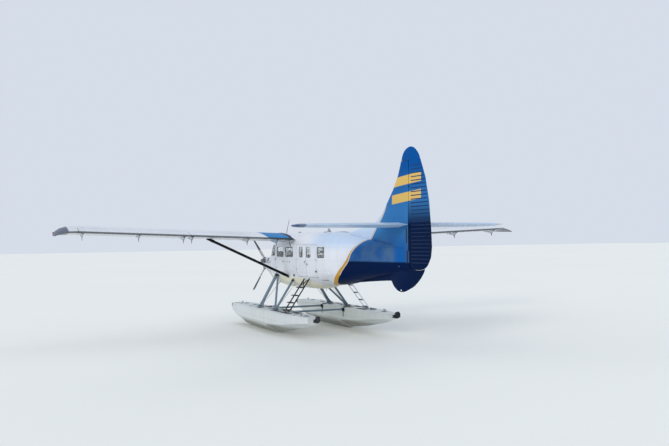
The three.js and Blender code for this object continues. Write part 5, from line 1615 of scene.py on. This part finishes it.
def ladder_brace(row):
    """The port ladder's crossed braces and the sleeves on its rails."""
    side, half, rungs = row[1], row[4], row[-1]
    brace = Shape()
    for flip in (1, -1):
        ends = ((-half * flip, 0.765), (half * flip, 0.985))
        brace.tube([ladder_place(row, du, rise, BRACE_OUT) for du, rise in ends],
                   0.015, 10)
    brace.lathe([(-0.019, 0.026), (0.019, 0.026)], ladder_place(row, 0, 0.875, BRACE_OUT),
                (0, side * 0.82, 0.57), 14)
    for du in (-half, half):
        for low, high in zip((0.030,) + rungs, rungs + (0.99,)):
            brace.tube([ladder_place(row, du, low + 0.018), ladder_place(row, du, high - 0.018)], 0.022)
    brace.piece("ladder_brace_left", DARK_PAINT, "dark_metal")


def ladder_details():
    """Braces, treads and shoes on the two boarding ladders."""
    for row in LADDERS:
        name, side, half, (near, deep, rungs) = row[0], row[1], row[4], row[7:]
        treads, shoes = Shape(), Shape()
        if name == "left":
            ladder_brace(row)
        for rung in rungs:
            here = ladder_place(row, 0, rung)
            treads.plate(here + UP * 0.0125, corners(0.01 - half, half - 0.01, near, near + deep), UP * 0.004,
                         second=PORT * side)
            if name == "right":
                board = corners(0.022 - half, half - 0.022, -0.023, 0.023)
                treads.plate(here - UP * 0.015, board, UP * 0.030)
            for u in share(0.035 - half, half - 0.035, TREAD_RIDGES - 1):
                ridge = corners(-0.004, 0.004, near + 0.004, near + deep - 0.004)
                treads.plate(here + Vector((u, 0, 0.0165)), ridge,
                             UP * 0.003, second=PORT * side)
        for du in (-half, half):
            foot, _ = hit(FLOATS[side], ladder_place(row, du, 0) + UP * 2, -UP)
            shoes.plate(foot - UP * 0.001, corners(-0.045, 0.045, -0.05, 0.05), UP * 0.008)
            for cheek in (-0.028, 0.028):
                shoes.plate(foot + AHEAD * (cheek - 0.003),
                            [(-0.035, 0.0), (0.035, 0.0), (0.018, 0.060), (-0.018, 0.060)],
                            AHEAD * 0.006, PORT, UP)
        treads.piece(f"ladder_treads_{name}", NON_SKID if name == "left" else RUBBER, "dark_metal")
        shoes.piece(f"ladder_shoes_{name}", STEEL, "bare_metal")


ladder_details()

STRUT_FOOT, STRUT_HEAD = (7.750, 0.740, 1.950), (7.830, 3.650, 3.320)
STRUT_HALF = (0.120, 0.046)
FLAP_ROD = (7.327, 0.783, 3.078), (7.252, 0.86, 3.262)


def wing_strut_details():
    for name, side in SIDES:
        foot, head = (place(u, side * y, z) for u, y, z in (STRUT_FOOT, STRUT_HEAD))
        for cuff, start, end in (("foot", 0.035, 0.075), ("head", 0.945, 0.975)):
            sleeve = Shape()
            oval_cuff(sleeve, foot, head, STRUT_HALF, start, end, 0.004, 32)
            sleeve.piece(f"wing_strut_{cuff}_cuff_{name}", STRUT_BLACK, "strut_black")
        plate, link = Shape(), Shape()
        point, normal = on_side(7.640, 1.965, side)
        plate.plate(point - normal * 0.004, rounded(-0.065, 0.050, -0.045, 0.045, 0.02), normal * 0.020,
                    second=normal.cross(AHEAD))
        plate.dome(point + normal * 0.016, normal, 0.016, 0.016)
        plate.piece(f"wing_strut_plate_{name}", GEAR, "gear_grey", bevel=0.002)
        low, high = (place(u, side * y, z) for u, y, z in FLAP_ROD)
        root, out = on_side(7.335, 3.06, side)
        link.tube([root - out * 0.004, root + out * 0.016, low + out * 0.03, high], 0.008, 10)
        link.lathe([(-0.003, 0.030), (0.006, 0.029), (0.012, 0.020), (0.012, 0.0)], root, out, 16)
        link.piece(f"flap_rod_{name}", DARK_PAINT, "dark_metal")


wing_strut_details()

COWL_BANDS = (9.800, 10.62, 11.34)
COWL_LATCH = [(-0.003, 0.022), (0.004, 0.021), (0.006, 0.015), (0.003, 0.0)]
EXHAUST_LIP = [(-0.012, 0.070), (-0.012, 0.080), (0.010, 0.080), (0.012, 0.070)]


def cowl_details():
    """Panel seams, fasteners, scoops, the intake's lip and the exhausts' lips."""
    seams, screws, lips = Shape(), Shape(), Shape()
    for u in COWL_BANDS:
        points, normals = hull_ring(u, -178, 178)
        seams.bead(points, normals, 0.016, 0.0022)
        rivets(screws, ([p + AHEAD * 0.022 for p in points], normals), 0.075, 0.0075, 0.0035)
    for side in (1, -1):
        for z0, z1 in ((2.40, 2.36), (2.06, 2.12)):
            line = [(u, z0 + (z1 - z0) * (u - 9.85) / 1.45) for u in share(9.85, 11.0, 24)]
            points, normals = side_line(line, side)
            seams.bead(points, normals, 0.012, 0.0020)
            rivets(screws, ([p + UP * 0.02 for p in points], normals), 0.09, 0.007, 0.0035)
        for u, z in ((10.15, 2.34), (10.15, 2.14), (10.42, 2.34), (10.42, 2.14)):
            screws.lathe(COWL_LATCH, *on_side(u, z, side), 18)
        lips.lathe(EXHAUST_LIP, place(11.04, side * 0.57, 2.45), (-0.30, side * 0.09, 0.015), 28)
        scoop = []
        for k, size in ((0.0, 0.55), (0.05, 1.0), (0.16, 1.0), (0.21, 0.85)):
            point, normal = on_side(10.35 + k, 2.50, side)
            up = normal.cross(AHEAD)
            scoop.append([point + up * (0.085 * size * math.cos(a))
                          + normal * (0.045 * size * math.sin(a) - 0.004)
                          for a in share(0, math.pi, 12)])
        lips.loft(scoop)
    inlet = [place(11.853, y, z) for y, z in rounded(-0.135, 0.135, 2.115, 2.185, 0.03, 0.03)]
    lips.tube(inlet, 0.010, 10, loop=True)
    seams.piece("cowl_seams", SEALANT, "airframe_white")
    screws.piece("cowl_screws", STEEL, "bare_metal")
    lips.piece("cowl_lips", STEEL, "bare_metal")


cowl_details()

HUB = place(12.090, 0, HUB_Z)
BLADE_START = math.radians(-90 - 29.3)
BLADES = 3
SPINNER_PLATE = [(-0.170, 0.240), (-0.170, 0.256), (-0.160, 0.258), (-0.145, 0.254), (-0.145, 0.240)]


def propeller_details():
    """The spinner's back plate, a ring at each blade's root, and the boots on the blades."""
    plate, rings, boots = Shape(), Shape(), Shape()
    tree = node_tree("propeller")
    plate.lathe(SPINNER_PLATE, HUB, AHEAD, 48)
    for out in oval(Vector(), PORT, UP, 18):
        plate.dome(HUB - AHEAD * 0.120 + out * 0.2505, out, 0.006, 0.004, 8)
    for i in range(BLADES):
        turn = BLADE_START + TAU * i / BLADES
        out = Vector((0, -math.cos(turn), math.sin(turn)))
        side = Vector((0, math.sin(turn), math.cos(turn)))
        rings.lathe([(0.235, 0.060), (0.235, 0.072), (0.262, 0.072), (0.268, 0.060)], HUB, out, 28)
        for face in (1, -1):
            starts = [HUB + out * r + AHEAD * 0.060 + side * face for r in share(0.36, 0.72, 10)]
            boots.bead(*line_on(tree, starts, side * -face), 0.055, 0.0022)
    plate.piece("spinner_plate", SPINNER_METAL, "bare_metal", "propeller_body")
    rings.piece("blade_cuffs", STEEL, "bare_metal", "propeller_body")
    boots.piece("blade_boots", RUBBER, "panel_black", "propeller_body")


propeller_details()

# Cabin: the seats' frames and pads, the panel's dials and yokes, the carpet and the belts
FLOOR_TOP = 1.900
SEATS = [
    # name, CAD node, U, Y
    ("pilot_left", "pilot_seat_left", 8.250, 0.340),
    ("pilot_right", "pilot_seat_right", 8.250, -0.340),
    ("passenger_1", "passenger_seats", 7.350, 0.380),
    ("passenger_2", "passenger_seats", 7.350, -0.380),
    ("passenger_3", "passenger_seats", 6.500, -0.380),
    ("passenger_4", "passenger_seats", 4.720, 0.345),
    ("passenger_5", "passenger_seats", 4.720, -0.345),
]
PADS = {
    # depth, width, thickness, crown, sewn channels across, along
    "cushion": (0.430, 0.390, 0.085, 0.012, (), (-0.085, 0.085)),
    "back": (0.400, 0.390, 0.055, 0.010, (-0.085, 0.055), ()),
    "headrest": (0.130, 0.240, 0.045, 0.010, (), ()),
}
PAD_VOXEL = 0.013
PAD_CAP = 0.018
PAD_STEPS = 20
PAD_PRESSURE = 4.0
PAD_SQUARE = 0.34
PAD_WAIST = 0.030
CHANNEL_DEEP = 0.007
CHANNEL_WIDE = 0.016
CHANNEL_HELD = 0.45
BACK_LEAN = math.atan2(0.13, 0.72)
BACK_UP = Vector((-math.sin(BACK_LEAN), 0, math.cos(BACK_LEAN)))
BACK_OUT = Vector((math.cos(BACK_LEAN), 0, math.sin(BACK_LEAN)))
BACK_FOOT = Vector((-0.258, 0, 0.425))


def pad_outline(turn, depth, width, size=1.0):
    """A place on a pad's outline: rounded corners, and sides that pull in between them."""
    reach = size / 2 * (1 - PAD_WAIST * math.cos(2 * turn) ** 2)
    along, across = (squared(part, PAD_SQUARE) for part in (math.cos(turn), math.sin(turn)))
    return depth * reach * along, width * reach * across


def channel(point, kind):
    """How near a point of a pad's upper face is to a sewn channel, from 0 to 1."""
    across, along = PADS[kind][4:]
    gaps = [abs(point.x - a) for a in across] + [abs(point.y - a) for a in along]
    return max((1 - gap / CHANNEL_WIDE for gap in gaps if gap < CHANNEL_WIDE and point.z >= 0), default=0.0)


def applied(form):
    """Turns a form's modifiers into its mesh."""
    graph = bpy.context.evaluated_depsgraph_get()
    form.data = bpy.data.meshes.new_from_object(form.evaluated_get(graph))
    form.modifiers.clear()


def blow_up(form, kind, low):
    """Swells a pad as cloth: its channels and its flat underside are held."""
    start = [vertex.co.copy() for vertex in form.data.vertices]
    held = form.vertex_groups.new(name="sewn")
    tied = [v.index for v in form.data.vertices
            if channel(v.co, kind) > CHANNEL_HELD or v.co.z < low + 0.004]
    held.add(tied, 1.0, "REPLACE")
    cover = form.modifiers.new("cover", "CLOTH")
    cover.settings.use_pressure = True
    cover.settings.uniform_pressure_force = PAD_PRESSURE
    cover.settings.vertex_group_mass = "sewn"
    cover.settings.effector_weights.gravity = 0
    cover.point_cache.frame_start = 1
    cover.point_cache.frame_end = PAD_STEPS
    for step in range(1, PAD_STEPS + 1):
        bpy.context.scene.frame_set(step)
    applied(form)
    bpy.context.scene.frame_set(1)
    for vertex, before in zip(form.data.vertices, start):
        move = vertex.co - before
        if move.length > PAD_CAP:
            vertex.co = before + move * (PAD_CAP / move.length)


def pad_mesh(kind):
    """A crowned closed form, remeshed, its channels pressed in and then blown up as cloth."""
    depth, width, thick, crown = PADS[kind][:4]
    top, low = thick / 2, -thick / 2
    rows = [(r, top + crown * (1 - r ** 2.5)) for r in (0.02, 0.3, 0.55, 0.75, 0.9)]
    rows += [(0.97, top - 0.004), (0.995, top - 0.014), (1.0, 0.0), (0.985, low + 0.010), (0.95, low)]
    rows += [(r, low) for r in (0.6, 0.02)]
    shape = Shape()
    shape.loft([[Vector((*pad_outline(TAU * k / 64, depth, width, size), z)) for k in range(64)]
                for size, z in rows])
    mesh = bpy.data.meshes.new(kind)
    mesh.from_pydata(shape.points, [], shape.faces)
    form = bpy.data.objects.new(kind, mesh)
    bpy.context.scene.collection.objects.link(form)
    remesh = form.modifiers.new("remesh", "REMESH")
    remesh.mode = "VOXEL"
    remesh.voxel_size = PAD_VOXEL
    applied(form)
    for vertex in form.data.vertices:
        vertex.co.z -= CHANNEL_DEEP * channel(vertex.co, kind)
    blow_up(form, kind, low)
    result = form.data
    bpy.data.objects.remove(form)
    return result


def pad_seams(shape, kind, tree, spot):
    """Cords round a pad's upper edge and along its channels, laid on the blown-up form."""
    depth, width, thick, _, across, along = PADS[kind]
    edge = []
    for k in range(72):
        x, y = pad_outline(TAU * k / 72, depth, width)
        edge.append(spot @ hit(tree, (2 * x, 2 * y, thick / 2 - 0.010), (-x, -y, 0))[0])
    shape.tube(edge, 0.0032, 6, loop=True)
    lines = [[(a, width * 0.44 * t) for t in share(-1, 1, 20)] for a in across]
    lines += [[(depth * 0.44 * t, a) for t in share(-1, 1, 20)] for a in along]
    for line in lines:
        points, _ = line_on(tree, [(x, y, 1.0) for x, y in line], -UP)
        shape.tube([spot @ (p - UP * 0.0005) for p in points], 0.0018, 6)


def pad(name, kind, mesh, spot, node):
    """One padded piece from the shared form, put in place."""
    copy = mesh.copy()
    copy.transform(spot)
    made = new_object(name, copy, SEAT_LEATHER if kind == "headrest" else SEAT_CLOTH)
    smooth = made.modifiers.new("smooth", "SUBSURF")
    smooth.levels = 1
    smooth.render_levels = 1
    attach(made, "airframe")
    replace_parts(made, node)


LEG_SIDE = 0.092
# A seat base's tubes on each side: radius, and the ends' steps along X and up
SEAT_TUBES = [
    (0.011, (-0.185, 0.004), (-0.150, 0.262)),
    (0.011, (0.185, 0.004), (0.150, 0.262)),
    (0.013, (-0.205, 0.256), (0.205, 0.256)),
    (0.008, (-0.180, 0.040), (0.150, 0.235)),
    (0.012, (-0.190, 0.016), (0.190, 0.016)),
]
HOOP = [(0.050, 0.200), (0.470, 0.200), (0.505, 0.188), (0.520, 0.160)]


def seat_frame(shape, u, y):
    """Legs, rails, the pan under the cushion, the shell behind the back and the headrest's posts."""
    base = place(u, y, FLOOR_TOP)
    for side in (-1, 1):
        for radius, *ends in SEAT_TUBES:
            shape.tube([base + Vector((a, side * LEG_SIDE, b)) for a, b in ends], radius, 10)
    for along in (-0.150, 0.150):
        shape.tube([base + Vector((along, wide, 0.262)) for wide in (-0.190, 0.190)], 0.009, 10)
    shape.plate(base + UP * 0.266, rounded(-0.205, 0.215, -0.190, 0.190, 0.035), UP * 0.010)
    foot = base + Vector((-0.268, 0, 0.300))
    for side in (-1, 1):
        post = foot + BACK_UP * 0.500 + BACK_OUT * 0.016 + PORT * (side * 0.060)
        shape.tube([post, post + BACK_UP * 0.100], 0.005, 8)
    half_hoop = [base + Vector((-0.150, 0.200, 0.250)), foot + Vector((0, 0.200, -0.034))]
    half_hoop += [foot + BACK_UP * rise - BACK_OUT * 0.006 + PORT * wide for rise, wide in HOOP]
    mirror = [Vector((p.x, 2 * y - p.y, p.z)) for p in half_hoop]
    shape.tube(half_hoop + mirror[::-1], 0.008, 10)
    shape.plate(foot - BACK_OUT * 0.006, rounded(0.080, 0.512, -0.186, 0.186, 0.045), BACK_OUT * 0.006,
                BACK_UP, PORT)


def seat_belt(webbing, buckle, u, y, tree, spot):
    """A lap belt lying over the cushion from both sides to its buckle."""
    inverse = spot.inverted()
    for side in (-1, 1):
        starts = [inverse @ place(u - 0.130 + 0.110 * t, y + side * (0.176 - 0.151 * t), 3.0)
                  for t in share(0, 1, 14)]
        points = [spot @ (point + UP * 0.0025) for point in line_on(tree, starts, -UP)[0]]
        ends = [points[0] + Vector(step)
                for step in ((-0.020, side * 0.012, -0.050), (-0.006, side * 0.010, -0.012))]
        normals = [Vector((0, side, 0.3)), Vector((0, side * 0.7, 1))] + [UP] * len(points)
        webbing.bead(ends + points, normals, 0.044, 0.0022)
    middle, _ = hit(tree, inverse @ place(u - 0.018, y, 3.0), -UP)
    buckle.plate(spot @ middle + UP * 0.004, rounded(-0.026, 0.026, -0.036, 0.036, 0.010), UP * 0.014)


# The seat rails' section: shift, width and height of each part
RAIL = ((0.0, 0.036, 0.004), (-0.015, 0.006, 0.014), (0.015, 0.006, 0.014))
RAIL_US = (4.450, 7.580)


def seats():
    forms = {kind: pad_mesh(kind) for kind in PADS}
    trees = {kind: mesh_tree(form) for kind, form in forms.items()}
    stand = Matrix.Rotation(-BACK_LEAN, 4, "Y") @ Matrix.Rotation(math.pi / 2, 4, "Y")
    groups = {}
    for name, node, u, y in SEATS:
        base = place(u, y, FLOOR_TOP)
        spots = {
            "cushion": Matrix.Translation(base + Vector((0.005, 0, 0.320))),
            "back": Matrix.Translation(base + BACK_FOOT + BACK_UP * 0.205) @ stand,
            "headrest": Matrix.Translation(base + BACK_FOOT + BACK_UP * 0.517) @ stand,
        }
        frames, seams, webbing, buckles = groups.setdefault(node, (Shape(), Shape(), Shape(), Shape()))
        for kind, form in forms.items():
            pad(f"{name}_{kind}", kind, form, spots[kind], node)
            pad_seams(seams, kind, trees[kind], spots[kind])
        seat_frame(frames, u, y)
        seat_belt(webbing, buckles, u, y, trees["cushion"], spots["cushion"])
    for node, (frames, seams, webbing, buckles) in groups.items():
        if node == "passenger_seats":
            for y in (-0.380, 0.380):
                for shift, wide, tall in RAIL:
                    frames.plate(place(RAIL_US[0], y + shift - wide / 2, FLOOR_TOP + 0.0005),
                                 corners(0, wide, 0, tall), AHEAD * (RAIL_US[1] - RAIL_US[0]), PORT, UP)
        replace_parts(frames.piece(f"{node}_frame", SEAT_FRAME, "dark_metal"), node)
        seams.piece(f"{node}_seams", SEAT_LEATHER, "seat_cloth")
        webbing.piece(f"{node}_belts", WEBBING, "seat_cloth")
        buckles.piece(f"{node}_buckles", STEEL, "bare_metal", bevel=0.002)
    for form in forms.values():
        bpy.data.meshes.remove(form)


seats()

DIALS = [
    # Y, Z, radius
    *[(y * side, z, 0.034) for side in (1, -1) for y in (0.20, 0.30, 0.40) for z in (2.665, 2.575)],
    *[(y * side, 2.480, 0.026) for side in (1, -1) for y in (0.20, 0.48)],
    (0.0, 2.700, 0.026),
]
RADIO_ZS = (2.650, 2.600, 2.550, 2.500, 2.450)
KNOB = [(0.0, 0.009), (0.022, 0.008), (0.024, 0.0)]
LEVER_KNOB = [(-0.012, 0.006), (-0.008, 0.013), (0.008, 0.013), (0.012, 0.006)]
YOKE_HUB = [(0.0, 0.026), (0.010, 0.034), (0.030, 0.034), (0.036, 0.022)]
# Half of a yoke's rim from its middle outwards: steps across and up, and radius
YOKE_RIM = [((0.0, 0.0), 0.014), ((0.040, -0.020), 0.012), ((0.110, -0.030), 0.012), ((0.150, 0.010), 0.014),
            ((0.158, 0.060), 0.015), ((0.150, 0.105), 0.014)]


def on_panel(tree, y, z):
    """A place on the instrument panel, seen from the seats."""
    return hit(tree, place(8.6, y, z), AHEAD)


def panel_faces(tree, bezels, faces):
    """Dials, and a stack of radios with their knobs."""
    for y, z, r in DIALS:
        point, normal = on_panel(tree, y, z)
        bezels.lathe([(-0.002, r), (0.006, r), (0.008, r * 0.92), (0.004, r * 0.84)], point, normal)
        faces.lathe([(0.0, r * 0.84), (0.0042, r * 0.84), (0.0046, r * 0.5), (0.0048, 0.0)], point, normal)
    for z in RADIO_ZS:
        point, normal = on_panel(tree, 0.0, z)
        bezels.plate(point - normal * 0.002, rounded(-0.078, 0.078, -0.019, 0.019, 0.006), normal * 0.008,
                     PORT, normal.cross(PORT).normalized())
        for side in (-1, 1):
            faces.lathe(KNOB, point + PORT * (side * 0.060), normal, 14)


def pilot_controls(tree, parts, faces):
    """A yoke and two pedals for each pilot, and the levers between them."""
    for y in (-0.335, 0.335):
        root, _ = on_panel(tree, y, 2.500)
        hub = place(9.170, y, 2.490)
        parts.tube([root, hub], 0.014)
        parts.lathe(YOKE_HUB, hub + AHEAD * 0.02, -AHEAD, 20)
        rim = [((-a, b), r) for (a, b), r in YOKE_RIM[:0:-1]] + YOKE_RIM
        parts.tube([hub + Vector((-0.012, a, b)) for (a, b), _ in rim], [r for _, r in rim])
        for foot in (-0.09, 0.09):
            pedal = place(9.250, y + foot, 2.060)
            parts.plate(pedal, rounded(-0.038, 0.038, -0.050, 0.050, 0.012), (0.010, 0, -0.003), PORT,
                        Vector((0.35, 0, 1)))
            parts.tube([pedal + Vector((0.008, 0, -0.030)), pedal + Vector((0.040, 0, -0.150))], 0.008, 8)
    for i, y in enumerate((-0.036, 0.0, 0.036)):
        root, _ = on_panel(tree, y, 2.390)
        tip = root + Vector((-0.110, 0, 0.020 + 0.012 * i))
        parts.tube([root, tip], 0.005, 8)
        faces.lathe(LEVER_KNOB, tip, PORT, 14)


# Carpet: U from and to, Y from and to
CARPETS = [(4.46, 7.56, -0.610, -0.412), (4.46, 7.56, -0.348, 0.348), (4.46, 7.56, 0.412, 0.610),
           (7.60, 9.20, -0.600, 0.600)]


def cockpit():
    """Dials, the padded lip, yokes, pedals and levers, the carpet, the visors and the blinds."""
    tree = node_tree("instrument_panel")
    bezels, faces, parts, carpet, visors, blinds = (Shape() for _ in range(6))
    panel_faces(tree, bezels, faces)
    lip, _ = face_line(tree, [(9.44, y) for y in share(-0.53, 0.53, 40)])
    parts.tube([point + Vector((-0.012, 0, 0.004)) for point in lip], 0.014, 10)
    pilot_controls(tree, parts, faces)
    bezels.piece("panel_bezels", GREY_PAINT, "panel_black")
    faces.piece("panel_dials", DIAL_FACE, "panel_black")
    parts.piece("cockpit_controls", PLASTIC, "panel_black")
    for u0, u1, y0, y1 in CARPETS:
        carpet.plate(place(0, 0, FLOOR_TOP + 0.0004), rounded(u0, u1, y0, y1, 0.02, 0.5), UP * 0.006)
    carpet.piece("cabin_carpet", CARPET, "seat_cloth")
    for side in (-1, 1):
        visor = rounded(0.10, 0.46, 3.215, 3.325, 0.025)
        visors.prism([place(8.93 - (z - 3.2) * 0.5, side * y, z) for y, z in visor], AHEAD * 0.008)
        start, end = (place(u, side * 0.712, 3.020) for u in (7.040, 7.870))
        blinds.tube([start, end], 0.018, 14)
        hanging = corners(0.02, end.x - start.x - 0.02, -0.045, 0)
        blinds.plate(start, hanging, PORT * (side * 0.003), second=UP)
    visors.piece("sun_visors", SEAT_LEATHER, "panel_black")
    blinds.piece("window_blinds", PLASTIC, "panel_black")


cockpit()
